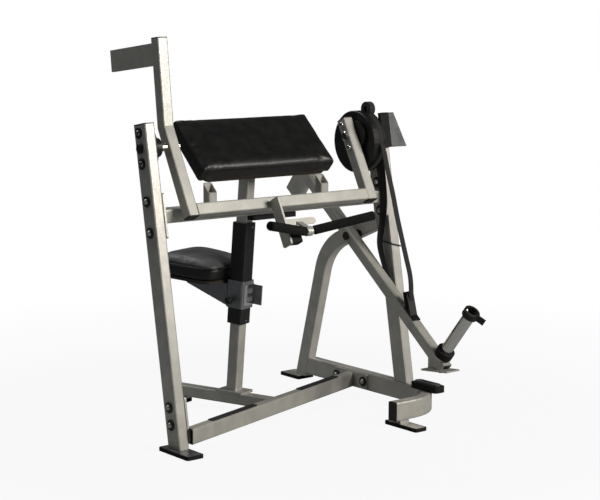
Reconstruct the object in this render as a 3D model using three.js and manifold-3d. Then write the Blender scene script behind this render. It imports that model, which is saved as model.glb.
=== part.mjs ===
// Plate-loaded biceps curl machine, in millimetres, +Z up, standing on Z = 0.
// X runs across the machine from the left post to the weight side, Y from the front to the seat.
// A user sits facing the front, lays both upper arms on the pad and turns the curl arm up.
// Its cam winds a belt, and the belt lifts the weight arm, which turns on the rear brace.
import * as THREE from "three";
import { mergeVertices } from "three/addons/utils/BufferGeometryUtils.js";
import Module from "manifold-3d";

const wasm = await Module();
wasm.setup();

// Frame tube stock, and how the frame stands
const tubeWide = 45;
const tubeDeep = 76;
const tubeWall = 3;
const tubeCorner = 6;
const crossTall = 52;
const frameWide = 1176;
const postLean = 9.8;
const postLength = 1197;
const postFrontY = 0;
const uprightLength = 1069.1;
const uprightBottomZ = 102.3;
const seatGap = 0.3;
const weldSink = 1;
const cutOverrun = 2;

// Feet: a steel plate in a rubber shoe
const shoeFloor = 8;
const shoeRim = 6;
const shoeWall = 5;
const footPlateThick = 6;
const footCorner = 8;
const leftFootWide = 74;
const leftFootLong = 190;
const leftFootX = 10;
const leftFootY = 5;
const braceFootWide = 89;
const braceFootLong = 132;
const rearFootX = 1148.5;
const rearFootY = 756;
const frontFootWide = 60;
const frontFootLong = 184;
const frontFootX = 918;
const frontFootY = -217;
const seatFootWide = 64;
const seatFootLong = 90;

// Low front tubes: the skewed foot bar, the base rail and the front stub
const footBarTurn = 18.2;
const footBarFrontY = -15;
const footBarZ = 30;
const footBarTall = 61;
const footBarDeep = 42;
const railZ = 26;
const stubLeftX = 877;
const stubFrontY = -212;
const stubBendRadius = 178;
const stubCapThick = 6;
const flangeThick = 8;
const flangeCorner = 6;
const footFlangeTop = 196;
const railBoltReach = 86;
const railBoltRoom = 22;
const gripStripThick = 3;
const gripStripWide = 30;
const leftStripStart = 130;
const leftStripLong = 290;
const rightStripStart = 745;
const rightStripLong = 285;

// Bumper that the weight arm comes down on
const bumperX = 1092;
const bumperWide = 56;
const bumperLong = 150;
const bumperTall = 26;
const bumperFrontY = -200;
const bumperPlateThick = 6;
const bumperPlateInset = 10;
const bumperSlotWide = 10;
const bumperSlotLong = 70;
const bumperCorner = 14;

// Curved rear brace
const braceLean = 15.2;
const braceFootY = 711.5;
const braceHeadSlope = 22.5;
const braceHeadZ = 754;
const braceRadius = 225;
const braceArcSteps = 9;
const braceDeep = 66;

// Bolts: domed head over a wide washer, with a round nut behind
const boltRadius = 6;
const boltHeadRadius = 10;
const boltHeadTall = 8;
const washerRadius = 21;
const washerThick = 4;
const nutRadius = 10;
const nutThick = 9;
const boltHoleGap = 0.4;
const crossBoltRise = 58;
const footBoltLowZ = 101;
const footBoltHighZ = 165;
const bearingBoltReach = 57;

// Upper cross tube, its flanges and the pad's posts
const crossFrontY = 160;
const crossZ = 832;
const leftFlangeTall = 166;
const rightFlangeBottomZ = 776;
const rightFlangeTopZ = 1150;
const padPostWide = 40;
const padPostSpacing = 548;
const padPostMiddleX = 569;
const stopPadLong = 207;
const stopPadDeep = 40;
const stopPadThick = 20;
const stopPadX = 567;
const padPostBackset = 30;

// Pivot of the curl arm
const pivotY = 233;
const pivotZ = 1108;
const shaftRadius = 15;
const shaftGap = 0.08;
const bearingRadius = 40;
const bearingEarRadius = 17;
const leftBearingThick = 30;
const rightBearingThick = 13;
const pivotCapRadius = 21;
const pivotCapThick = 9;

// Curl arm
const armTube = 46;
const armWall = 3;
const armCorner = 5;
const armSlope = 27;
const armLeftX = 113;
const armRightX = 984;
const armHead = 70;
const armReach = 282;
const armTopLean = 6.3;
const armTopLength = 330;
const endCapThick = 4;
const endCapPlug = 12;
const armBoltSpacing = 50;
const armBoltRadius = 9;
const armBoltTall = 6;
const counterweightLong = 305;
const counterweightDeep = 84;
const counterweightThick = 16;
const counterweightDrop = 14;
const counterweightLug = 8;
const shaftHeadRadius = 19;
const shaftHeadThick = 7;

// Cam and belt
const camRadius = 120;
const camLipRadius = 126;
const camOffsetY = 29;
const camOffsetZ = -15;
const camDiscThick = 30;
const camHubThick = 13;
const camHubRadius = 62;
const camGrooveWide = 29;
const camLipThick = 3;
const camEdge = 4;
const camSteps = 40;
const beltWide = 26;
const beltThick = 5;
const beltEyeRadius = 30;
const beltEyeHole = 12;
const beltEyeAngle = 133;
const beltStartAngle = 4;
const beltLift = 18;
const beltCoverShare = 0.86;

// Weight arm
const leverPivotY = 318;
const leverPivotZ = 684;
const leverSlope = 39;
const leverFront = 744;
const leverRear = 344;
const leverWide = 45;
const leverDeep = 46;
const leverGap = 21;
const leverShaftRadius = 14;
const leverBossRadius = 21;
const leverBossProud = 1;
const leverFlangeRadius = 22;
const hornSetback = 45;
const hornRadius = 24;
const hornLong = 264;
const hornBore = 20;
const hornBevel = 3;
const collarRadius = 37;
const collarThick = 30;
const clipRadius = 33;
const clipThick = 24;
const clipTailTurn = -60;
const clipFromEnd = 2;
const clipTailLong = 34;
const clipTailThick = 10;
const stopPlateRearZ = 197.5;
const stopPlateTilt = 5.1;
const stopPlateThick = 6;
const stopPlateFrontY = -305;
const stopPlateRearY = -156;
const stopPlateWide = 75;
const gussetThick = 8;
const leverBarDeep = 78;
const leverBarLong = 215;
const leverBarDrop = 18;
const clampReach = 470;
const clampTall = 92;
const clampWide = 36;
const clampJaw = 9;
const clampFoot = 6;
const clampFootLong = 74;
const clampBelow = 30;
const clampFloor = 16;

// Limit strap on the right upright
const strapWide = 24;
const strapThick = 4;
const strapStandoff = 5;
const strapRoute = [[0, 1078], [-12, 950], [-1, 858], [34, 721], [50, 676], [34, 648], [4, 478]];
const bandThick = 2.5;
const bandTall = 14;
const bandClipLong = 26;
const bandClipBackset = 52;
const bandZ = 668;

// Guard on the front of the right upright
const guardLowThrow = 90;
const guardHighThrow = 36;
const bufferThick = 10;
const guardThick = 5;
const guardTopZ = 1190;
const guardBottomZ = 1050;

// Handle
const handleX = 577;
const handleY = -34;
const handleZ = 782;
const handleHalf = 248;
const handleForward = 88;
const handleRise = 49;
const handleFlat = 16;
const handleBarRadius = 13;
const gripRadius = 17;
const gripEnd = 6;
const gripStart = 6;
const handleSteps = 84;
const handleSides = 12;
const sleeveRadius = 19;
const sleeveLong = 26;
const cheekThick = 8;
const cheekDeep = 54;
const bridgeDrop = 63;
const cheekDrop = 20;
const cheekLong = 194;
const cheekSpacing = 164;
const bridgeThick = 6;
const bridgeTall = 26;
const bridgeLong = 165;
const bridgeCorner = 12;
const neckWide = 24;
const stopBlockWide = 51;
const stopBlockTall = 40;
const stopBlockDeep = 42;
const stopBlockForward = 10;
const stopBlockRise = 10;

// Seat post and carriage
const seatTurn = 18.2;
const seatPostX = 560;
const seatPostY = 425;
const seatPostTube = 50;
const seatPostLean = 4.5;
const seatPostTopZ = 1062;
const seatRailZ = 29;
const seatRailTall = 46;
const seatRailWide = 51;
const seatRailRear = 326;
const basePlateLong = 130;
const basePlateWide = 84;
const basePlateThick = 10;
const guideTopZ = 775;
const guideBottomZ = 365;
const guideOuter = 70;
const guideCorner = 9;
const carriageBottomZ = 430;
const carriageTall = 112;
const carriageWall = 5;
const carriageGap = 0.5;
const bracketLong = 202;
const bracketNose = 29;
const bracketThick = 6;
const bracketTrayThick = 5;
const cheekReach = 40;
const cheekReachLow = 14;
const cheekReachTall = 80;
const latchThick = 5;
const latchWide = 64;
const latchTall = 84;
const latchSlot = 14;
const pinRadius = 7;
const pinHouseRadius = 12;
const pinHouseLong = 14;
const knobRadius = 15;
const knobLong = 26;
const pinRise = 34;
const pinBackset = 6;

// Seat cushion
const seatLowRise = 440;
const seatCushionTall = 68;
const seatCrown = 18;
const seatBoardThick = 12;
const seatLong = 300;
const seatRearWide = 318;
const seatNoseWide = 280;
const seatFrontGap = 3;
const seatInset = 12;

// Arm pad
const padX = 577;
const padWide = 618;
const padLong = 292;
const padThick = 66;
const padSlope = 42.8;
const padMidY = 273.5;
const padMidZ = 1111.5;
const padBoardThick = 12;
const padBoardInset = 14;
const padCrown = 7;
const padCorner = 34;
const cushionEdgeShare = 0.36;
const seatSquareShare = 0.35;
const cushionDraw = 6;
const cushionSideSteps = 3;
const cushionEdgeSteps = 3;
const cushionCrownSteps = 4;
const cushionCornerSteps = 4;

// Counts for round shapes
const cornerSteps = 2;
const roundSides = 16;
const wideRoundSides = 28;

// Colours
const silverPaint = material(0xb9bab6, 0.42, 0.35);
const blackPaint = material(0x17181a, 0.45, 0.2);
const blackPlastic = material(0x121314, 0.5, 0);
const rubber = material(0x161616, 0.85, 0);
const greyPlate = material(0x6d7175, 0.4, 0.5);
const chrome = material(0xd9dbdd, 0.12, 1);
const foam = material(0x1b1c1c, 0.9, 0);
const vinyl = material(0x1d1f20, 0.55, 0);
const plywood = material(0x8a6a45, 0.8, 0);
const webbing = material(0x202422, 0.8, 0);

function material(color, roughness, metalness) {
  return new THREE.MeshStandardMaterial({ color, roughness, metalness });
}

// General helpers: places, turns, closed skins and booleans
const radians = THREE.MathUtils.degToRad;
const sine = (degrees) => Math.sin(radians(degrees));
const cosine = (degrees) => Math.cos(radians(degrees));
const slopeOf = (degrees) => Math.tan(radians(degrees));
const flat = (x, y) => new THREE.Vector2(x, y);
const shift = (geometry, x, y, z) => geometry.clone().translate(x, y, z);

// Turns a shape that was drawn in X and Y and raised along Z, so that it lies in Y and Z and runs along X.
function sideways(geometry) {
  const turn = new THREE.Matrix4().makeBasis(
    new THREE.Vector3(0, 1, 0),
    new THREE.Vector3(0, 0, 1),
    new THREE.Vector3(1, 0, 0),
  );
  return geometry.clone().applyMatrix4(turn);
}

function solid(geometry) {
  const bare = geometry.index ? geometry.toNonIndexed() : geometry.clone();
  bare.deleteAttribute("normal");
  bare.deleteAttribute("uv");
  const merged = mergeVertices(bare, 1e-4);
  return new wasm.Manifold(
    new wasm.Mesh({
      numProp: 3,
      vertProperties: merged.attributes.position.array,
      triVerts: new Uint32Array(merged.index.array),
    }),
  );
}

function geometryOf(body) {
  const mesh = body.getMesh();
  const positions = new Float32Array(mesh.numVert * 3);
  for (let i = 0; i < mesh.numVert; i += 1) {
    const start = i * mesh.numProp;
    positions.set(mesh.vertProperties.subarray(start, start + 3), i * 3);
  }
  const geometry = new THREE.BufferGeometry();
  geometry.setAttribute("position", new THREE.BufferAttribute(positions, 3));
  geometry.setIndex(new THREE.BufferAttribute(mesh.triVerts, 1));
  return geometry;
}

const join = (...parts) => geometryOf(parts.map(solid).reduce((all, next) => all.add(next)));
const cut = (body, ...tools) =>
  geometryOf(tools.map(solid).reduce((left, tool) => left.subtract(tool), solid(body)));

// Six times the volume inside a closed set of triangles, negative where they face inwards.
function facing(positions, index) {
  const corner = (i) => new THREE.Vector3().fromArray(positions, index[i] * 3);
  let total = 0;
  for (let i = 0; i < index.length; i += 3) {
    total += corner(i).dot(corner(i + 1).cross(corner(i + 2)));
  }
  return total;
}

// A closed skin through rings of equally many points, where the last ring is joined to the first.
function skin(rings) {
  const count = rings[0].length;
  const positions = rings.flat().flatMap((p) => p.toArray());
  const index = [];
  rings.forEach((ring, i) => {
    const here = i * count;
    const next = ((i + 1) % rings.length) * count;
    for (let j = 0; j < count; j += 1) {
      const k = (j + 1) % count;
      index.push(here + j, here + k, next + k, here + j, next + k, next + j);
    }
  });
  return closed(positions, index);
}

// A closed skin through rings from one end to the other, with a fan over each end.
function loft(rings) {
  const count = rings[0].length;
  const positions = rings.flat().flatMap((p) => p.toArray());
  const index = [];
  for (let i = 0; i + 1 < rings.length; i += 1) {
    const here = i * count;
    const next = here + count;
    for (let j = 0; j < count; j += 1) {
      const k = (j + 1) % count;
      index.push(here + j, here + k, next + k, here + j, next + k, next + j);
    }
  }
  const last = (rings.length - 1) * count;
  for (let j = 1; j + 1 < count; j += 1) {
    index.push(0, j + 1, j);
    index.push(last, last + j, last + j + 1);
  }
  return closed(positions, index);
}

function closed(positions, index) {
  if (facing(positions, index) < 0) index.reverse();
  const geometry = new THREE.BufferGeometry();
  geometry.setAttribute("position", new THREE.Float32BufferAttribute(positions, 3));
  geometry.setIndex(index);
  return geometry;
}

// Points of a rectangle with round corners, around its middle.
function roundedRectangle(wide, deep, corner, steps = cornerSteps) {
  const points = [];
  for (let quarter = 0; quarter < 4; quarter += 1) {
    const signX = quarter === 0 || quarter === 3 ? 1 : -1;
    const signY = quarter < 2 ? 1 : -1;
    const middle = flat(signX * (wide / 2 - corner), signY * (deep / 2 - corner));
    for (let step = 0; step <= steps; step += 1) {
      const angle = radians(90 * (quarter + step / steps));
      points.push(flat(Math.cos(angle), Math.sin(angle)).multiplyScalar(corner).add(middle));
    }
  }
  return points;
}

// A plate drawn in X and Y, raised along Z from 0, with round holes as [x, y, radius].
function plate(points, thick, holes = []) {
  const shape = new THREE.Shape(points);
  holes.forEach(([x, y, radius]) => {
    shape.holes.push(new THREE.Path().absarc(x, y, radius, 0, Math.PI * 2, true));
  });
  return new THREE.ExtrudeGeometry(shape, {
    depth: thick,
    bevelEnabled: false,
    curveSegments: roundSides / 2,
  });
}

// A rod along Z from 0.
function rod(radius, length, sides = roundSides) {
  return new THREE.CylinderGeometry(radius, radius, length, sides)
    .rotateX(Math.PI / 2)
    .translate(0, 0, length / 2);
}

const block = (wide, deep, tall) => new THREE.BoxGeometry(wide, deep, tall);

// A revolved solid about Z from points [radius, height] that start and end on the axis.
function turned(points, sides = roundSides) {
  const profile = points.map(([radius, height]) => flat(radius, height));
  return new THREE.LatheGeometry(profile, sides).rotateX(Math.PI / 2);
}

// A hollow tube along Z from 0, whose ends may slope with Y.
function tube(size, length, startSlope = 0, endSlope = 0) {
  const outline = roundedRectangle(size.wide, size.deep, size.corner);
  const inside = roundedRectangle(
    size.wide - 2 * size.wall,
    size.deep - 2 * size.wall,
    size.corner - size.wall / 2,
  );
  const ring = (points, z, slope) => points.map((p) => new THREE.Vector3(p.x, p.y, z + slope * p.y));
  return skin([
    ring(outline, 0, startSlope),
    ring(outline, length, endSlope),
    ring(inside, length, endSlope),
    ring(inside, 0, startSlope),
  ]);
}

const frameStock = { wide: tubeWide, deep: tubeDeep, wall: tubeWall, corner: tubeCorner };
const crossStock = { wide: crossTall, deep: tubeDeep, wall: tubeWall, corner: tubeCorner };
const armStock = { wide: armTube, deep: armTube, wall: armWall, corner: armCorner };

// A bolt along Z: its head is below 0, and its nut lies against a wall of the given depth.
function bolt(grip) {
  return turned([
    [0, -washerThick - boltHeadTall],
    [boltHeadRadius * 0.7, -washerThick - boltHeadTall],
    [boltHeadRadius, -washerThick - boltHeadTall * 0.5],
    [boltHeadRadius, -washerThick],
    [washerRadius, -washerThick],
    [washerRadius, -seatGap],
    [boltRadius, -seatGap],
    [boltRadius, grip + seatGap],
    [nutRadius, grip + seatGap],
    [nutRadius, grip + nutThick],
    [0, grip + nutThick],
  ]);
}

// A plastic plug for a tube's end, with its face up and its plug going down into the tube.
function endCap(size) {
  const face = plate(roundedRectangle(size.wide, size.deep, size.corner), endCapThick);
  const inner = roundedRectangle(
    size.wide - 2 * (size.wall + seatGap),
    size.deep - 2 * (size.wall + seatGap),
    size.corner - size.wall / 2,
  );
  return join(face, shift(plate(inner, endCapPlug), 0, 0, -endCapPlug + weldSink));
}

// The scene graph: one group for the frame and one for each thing that moves
const machine = new THREE.Group();

function add(name, geometry, paint, parent, place = [0, 0, 0]) {
  const mesh = new THREE.Mesh(geometry, paint);
  mesh.name = name;
  mesh.position.set(...place);
  parent.add(mesh);
  return mesh;
}

function groupAt(parent, place, turn = [0, 0, 0]) {
  const group = new THREE.Group();
  group.position.set(...place);
  group.rotation.set(...turn.map(radians));
  parent.add(group);
  return group;
}

// A foot: a rubber shoe on the floor, and the place of the steel plate in it.
function shoe(wide, long) {
  const outside = plate(roundedRectangle(wide, long, footCorner), shoeFloor + shoeRim);
  const pocketWide = wide - 2 * shoeWall;
  const pocketLong = long - 2 * shoeWall;
  const pocket = plate(roundedRectangle(pocketWide, pocketLong, footCorner - shoeWall / 2), shoeRim + cutOverrun);
  return cut(outside, shift(pocket, 0, 0, shoeFloor));
}

function footPlate(wide, long) {
  const room = 2 * (shoeWall + seatGap);
  const outline = roundedRectangle(wide - room, long - room, footCorner - shoeWall / 2);
  return shift(plate(outline, footPlateThick), 0, 0, shoeFloor + seatGap);
}
const footPlateTop = shoeFloor + seatGap + footPlateThick;

// Left post: it leans back, and its foot is cut level
const postMiddleY = (z) => postFrontY + tubeDeep / cosine(postLean) / 2 + (z - footPlateTop) * slopeOf(postLean);
const postGroup = groupAt(machine, [tubeWide / 2, postMiddleY(footPlateTop), footPlateTop], [-postLean, 0, 0]);
const postAxis = (z) => (z - footPlateTop) / cosine(postLean);

// A point of the leaning post's own frame for a place given in Y and Z.
function onPost(y, z) {
  const dy = y - postMiddleY(footPlateTop);
  const dz = z - footPlateTop;
  return { across: dy * cosine(postLean) - dz * sine(postLean), along: dy * sine(postLean) + dz * cosine(postLean) };
}

function boltHole(y, z) {
  const place = onPost(y, z);
  const hole = sideways(rod(boltRadius + boltHoleGap, tubeWide + 2 * cutOverrun));
  return shift(hole, -tubeWide / 2 - cutOverrun, place.across, place.along);
}
const crossMiddleZ = crossZ + crossTall / 2;
const crossBolts = [-1, 1].map((side) => {
  const z = crossMiddleZ + side * crossBoltRise * cosine(postLean);
  return [postMiddleY(z), z];
});
const footBolts = [footBoltLowZ, footBoltHighZ].map((z) => [postMiddleY(z), z]);
const bearingBolts = [-1, 1].map((side) => {
  const reach = side * bearingBoltReach;
  return [pivotY + reach * sine(postLean), pivotZ + reach * cosine(postLean)];
});
const shaftHoleRadius = shaftRadius + 2 * seatGap;

function leftPost() {
  const post = tube(frameStock, postLength, slopeOf(postLean), 0);
  const pivot = onPost(pivotY, pivotZ);
  const shaftHole = sideways(rod(shaftHoleRadius, tubeWide + 2 * cutOverrun));
  const holes = [...crossBolts, ...footBolts, ...bearingBolts].map(([y, z]) => boltHole(y, z));
  return cut(post, ...holes, shift(shaftHole, -tubeWide / 2 - cutOverrun, pivot.across, pivot.along));
}
add("left_post", leftPost(), silverPaint, postGroup);
add("left_post_cap", endCap(frameStock), blackPlastic, postGroup, [0, 0, postLength + seatGap]);
add("left_foot_plate", footPlate(leftFootWide, leftFootLong), greyPlate, machine, [leftFootX, leftFootY, -seatGap]);
add("left_shoe", shoe(leftFootWide, leftFootLong), rubber, machine, [leftFootX, leftFootY, 0]);

// Right upright: the same lean, standing on the base rail
const rightX = frameWide - tubeWide / 2;
const rightFaceX = frameWide - tubeWide;
const uprightPlace = [rightX, postMiddleY(uprightBottomZ), uprightBottomZ];
const uprightGroup = groupAt(machine, uprightPlace, [-postLean, 0, 0]);

function rightUpright() {
  const post = tube(frameStock, uprightLength, slopeOf(postLean), 0);
  const low = postAxis(uprightBottomZ);
  const holes = crossBolts.map(([y, z]) => shift(boltHole(y, z), 0, 0, -low));
  return cut(post, ...holes);
}
add("right_upright", rightUpright(), silverPaint, uprightGroup);
add("right_upright_cap", endCap(frameStock), blackPlastic, uprightGroup, [0, 0, uprightLength + seatGap]);

// Low front tubes: tubes that run along X, and the stations of a bent tube
const crosswise = (geometry) => geometry.clone().rotateY(Math.PI / 2);
const lengthwise = (geometry) => geometry.clone().rotateX(-Math.PI / 2);

// A bent hollow tube through stations, each with its middle and the directions of its two sides.
function bentTube(size, stations) {
  const outline = roundedRectangle(size.wide, size.deep, size.corner);
  const inside = roundedRectangle(
    size.wide - 2 * size.wall,
    size.deep - 2 * size.wall,
    size.corner - size.wall / 2,
  );
  const ring = (points) => ({ at, across, deep }) =>
    points.map((p) => at.clone().addScaledVector(across, p.x).addScaledVector(deep, p.y));
  return skin([...stations.map(ring(outline)), ...[...stations].reverse().map(ring(inside))]);
}

// A plate that leans with the posts and runs along X from 0, between two heights.
function leaningPlate(wide, bottomZ, topZ, thick) {
  const middleZ = (bottomZ + topZ) / 2;
  const outline = roundedRectangle(wide, (topZ - bottomZ) / cosine(postLean), flangeCorner);
  const sheet = plate(outline, thick).rotateZ(-radians(postLean));
  return sideways(sheet.translate(postMiddleY(middleZ), middleZ, 0));
}

// The foot bar: a skewed tube between a flange on the left post and a bracket on the base rail
const footBarStart = tubeWide + seatGap + flangeThick;
const footBarStop = rightFaceX - seatGap - flangeThick;
const footBarMiddleY = (x) =>
  footBarFrontY + (x - tubeWide) * slopeOf(footBarTurn) + footBarDeep / 2 / cosine(footBarTurn);
const footBarMiddleZ = footBarZ + footBarTall / 2;
const railTopZ = railZ + tubeDeep;
const railMiddleZ = railZ + tubeDeep / 2;
const railBracketY = footBarMiddleY(footBarStop);
const railBoltYs = [-1, 1].map((side) => railBracketY + side * railBoltReach);
const railBracketLong = 2 * (railBoltReach + railBoltRoom);
const railBracketTall = tubeDeep - 2 * flangeCorner;

function footBar() {
  const skew = slopeOf(footBarTurn);
  const reach = (footBarStop - footBarStart + 2 * weldSink) / cosine(footBarTurn);
  const size = { wide: footBarTall, deep: footBarDeep, wall: tubeWall, corner: tubeCorner };
  const bar = crosswise(tube(size, reach, skew, skew)).rotateZ(radians(footBarTurn));
  const startX = footBarStart - weldSink;
  bar.translate(startX, footBarMiddleY(startX), footBarMiddleZ);
  const sheet = leaningPlate(tubeDeep, footBarZ - flangeCorner / 2, footFlangeTop, flangeThick);
  const flange = shift(sheet, tubeWide + seatGap, 0, 0);
  const shanks = footBolts.map(([y, z]) => shift(sideways(bolt(tubeWide + flangeThick)), 0, y, z));
  const bracket = plate(roundedRectangle(railBracketLong, railBracketTall, flangeCorner), flangeThick);
  const seat = shift(sideways(bracket), footBarStop, railBracketY, railMiddleZ);
  const railShanks = railBoltYs.map((y) =>
    shift(sideways(bolt(flangeThick + tubeWide)), footBarStop, y, railMiddleZ));
  return join(bar, flange, ...shanks, seat, ...railShanks);
}
add("foot_bar", footBar(), silverPaint, machine);

function gripStrip(startX, long) {
  const strip = plate(roundedRectangle(long, gripStripWide, flangeCorner), gripStripThick);
  const middleX = startX + long / 2 * cosine(footBarTurn);
  strip.rotateZ(radians(footBarTurn));
  return strip.translate(middleX, footBarMiddleY(middleX), footBarZ + footBarTall + seatGap);
}
add("left_grip_strip", gripStrip(leftStripStart + tubeWide, leftStripLong), rubber, machine);
add("right_grip_strip", gripStrip(rightStripStart, rightStripLong), rubber, machine);

// The rear brace: its foot is cut level, then it bends forward on to the upright's rear face
const braceStations = (() => {
  const normalAt = (angle) => new THREE.Vector3(0, cosine(angle), sine(angle));
  const across = new THREE.Vector3(1, 0, 0);
  const foot = new THREE.Vector3(rightX, braceFootY, footPlateTop);
  const headY = postMiddleY(braceHeadZ) + tubeDeep / 2 / cosine(postLean) + 2 * seatGap;
  const head = new THREE.Vector3(rightX, headY, braceHeadZ);
  const firstRun = new THREE.Vector3(0, -sine(braceLean), cosine(braceLean));
  const lastRun = new THREE.Vector3(0, -cosine(braceHeadSlope), sine(braceHeadSlope));
  const turn = 90 - braceLean - braceHeadSlope;
  const between = head.clone().sub(foot);
  const bend = firstRun.y * lastRun.z - firstRun.z * lastRun.y;
  const firstLong = (between.y * lastRun.z - between.z * lastRun.y) / bend;
  const corner = foot.clone().addScaledVector(firstRun, firstLong);
  const bendStart = corner.clone().addScaledVector(firstRun, -braceRadius * slopeOf(turn / 2));
  const middle = bendStart.clone().addScaledVector(normalAt(braceLean), -braceRadius);
  const stations = [{ at: foot, across, deep: new THREE.Vector3(0, 1 / cosine(braceLean), 0) }];
  for (let step = 0; step <= braceArcSteps; step += 1) {
    const normal = normalAt(braceLean + turn * step / braceArcSteps);
    stations.push({ at: middle.clone().addScaledVector(normal, braceRadius), across, deep: normal });
  }
  const face = new THREE.Vector3(0, sine(postLean), cosine(postLean));
  const stretch = 1 / face.dot(normalAt(braceLean + turn));
  stations.push({ at: head, across, deep: face.multiplyScalar(stretch) });
  return stations;
})();

function rearBrace() {
  const brace = bentTube({ ...frameStock, deep: braceDeep }, braceStations);
  const sheet = shift(footPlate(braceFootWide, braceFootLong), rearFootX, rearFootY, weldSink / 2 - seatGap);
  return join(brace, sheet);
}
add("rear_brace", rearBrace(), silverPaint, machine);
add("rear_shoe", shoe(braceFootWide, braceFootLong), rubber, machine, [rearFootX, rearFootY, 0]);

// The base rail runs forward from the brace and bends round into the front stub
function baseRail() {
  const up = new THREE.Vector3(0, 0, 1);
  const braceFaceY = braceFootY - (railMiddleZ - footPlateTop) * slopeOf(braceLean) - braceDeep / 2 / cosine(braceLean);
  const rearCut = new THREE.Vector3(0, -slopeOf(braceLean), 1);
  const along = new THREE.Vector3(1, 0, 0);
  const stubMiddleY = stubFrontY + tubeWide / 2;
  const stations = [{ at: new THREE.Vector3(rightX, braceFaceY - seatGap, railMiddleZ), across: along, deep: rearCut }];
  const bendX = rightX - stubBendRadius;
  const bendY = stubMiddleY + stubBendRadius;
  for (let step = 0; step <= braceArcSteps; step += 1) {
    const angle = 90 * step / braceArcSteps;
    const across = new THREE.Vector3(cosine(angle), -sine(angle), 0);
    const at = new THREE.Vector3(bendX, bendY, railMiddleZ).addScaledVector(across, stubBendRadius);
    stations.push({ at, across, deep: up });
  }
  const end = new THREE.Vector3(stubLeftX, stubMiddleY, railMiddleZ);
  stations.push({ at: end, across: new THREE.Vector3(0, -1, 0), deep: up });
  const holes = railBoltYs.map((y) =>
    shift(sideways(rod(boltRadius + boltHoleGap, tubeWide + 2 * cutOverrun)), rightFaceX - cutOverrun, y, railMiddleZ));
  const riser = block(tubeWide, tubeWide, railZ - footPlateTop + 2 * weldSink);
  const riserZ = (railZ + footPlateTop) / 2;
  const sheet = shift(footPlate(frontFootWide, frontFootLong), frontFootX, frontFootY, 0);
  return join(cut(bentTube(frameStock, stations), ...holes), shift(riser, frontFootX, stubMiddleY, riserZ), sheet);
}
add("base_rail", baseRail(), silverPaint, machine);
add("front_shoe", shoe(frontFootWide, frontFootLong), rubber, machine, [frontFootX, frontFootY, 0]);
const stubCap = endCap({ ...frameStock, wide: tubeDeep, deep: tubeWide }).rotateY(-Math.PI / 2);
add("front_stub_cap", stubCap, blackPlastic, machine, [stubLeftX - seatGap, stubFrontY + tubeWide / 2, railMiddleZ]);

// The bumper under the weight arm: a rubber block with a slotted plate on it
function bumperPlate() {
  const outline = roundedRectangle(bumperWide - 2 * bumperPlateInset, bumperLong - 2 * bumperPlateInset, bumperCorner);
  const sheet = plate(outline, bumperPlateThick);
  const slot = plate(roundedRectangle(bumperSlotWide, bumperSlotLong, bumperSlotWide * 0.49), bumperPlateThick + 2 * cutOverrun);
  return cut(sheet, shift(slot, 0, 0, -cutOverrun));
}
const bumperMiddle = [bumperX + bumperWide / 2, bumperFrontY + bumperLong / 2];
const bumperBlock = plate(roundedRectangle(bumperWide, bumperLong, bumperCorner), bumperTall);
add("bumper_block", bumperBlock, rubber, machine, [...bumperMiddle, railTopZ + seatGap]);
add("bumper_plate", bumperPlate(), greyPlate, machine, [...bumperMiddle, railTopZ + bumperTall + 2 * seatGap]);

// The upper cross tube, flanged to the post and the upright
const crossTopZ = crossZ + crossTall;
const rightFlangeX = rightFaceX - seatGap - flangeThick;

// Height of the pad board's underside at a place in Y.
function boardUnderside(y) {
  const depth = padThick + padBoardThick + 2 * seatGap;
  const atY = padMidY + depth * sine(padSlope);
  const atZ = padMidZ - depth * cosine(padSlope);
  return atZ + (y - atY) * slopeOf(padSlope);
}

// One of the two posts that carry the arm pad, cut to the board's slope.
function padPost(side) {
  const stock = { wide: padPostWide, deep: padPostWide, wall: tubeWall, corner: tubeCorner };
  const y = crossFrontY + padPostBackset + padPostWide / 2;
  const z = crossTopZ - weldSink;
  const post = tube(stock, boardUnderside(y) - z, 0, slopeOf(padSlope));
  return shift(post, padPostMiddleX + side * padPostSpacing / 2, y, z);
}

function upperCrossTube() {
  const startX = tubeWide + seatGap + flangeThick - weldSink;
  const bar = crosswise(tube(crossStock, rightFlangeX + weldSink - startX));
  const leftHalf = leftFlangeTall / 2;
  const left = leaningPlate(tubeDeep, crossMiddleZ - leftHalf, crossMiddleZ + leftHalf, flangeThick);
  const right = leaningPlate(tubeDeep, rightFlangeBottomZ, rightFlangeTopZ, flangeThick);
  const grip = tubeWide + flangeThick + seatGap;
  const leftBolts = crossBolts.map(([y, z]) => shift(sideways(bolt(grip)), 0, y, z));
  const rightBolts = crossBolts.map(([y, z]) => shift(sideways(bolt(grip)), rightFlangeX, y, z));
  return join(
    shift(bar, startX, crossFrontY + tubeDeep / 2, crossMiddleZ),
    shift(left, tubeWide + seatGap, 0, 0),
    shift(right, rightFlangeX, 0, 0),
    ...leftBolts,
    ...rightBolts,
    padPost(-1),
    padPost(1),
  );
}
add("upper_cross_tube", upperCrossTube(), silverPaint, machine);

// A rubber pad under the cross tube
const stopPad = block(stopPadLong, stopPadDeep, stopPadThick);
const stopPadZ = crossZ - seatGap - stopPadThick / 2;
add("arm_stop_pad", stopPad, rubber, machine, [stopPadX, crossFrontY + stopPadDeep / 2, stopPadZ]);

// Bearings: an eared housing on the left post and one on the right flange
const boreRadius = (radius, gap, sides) => (radius + gap) / Math.cos(Math.PI / sides);

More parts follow.
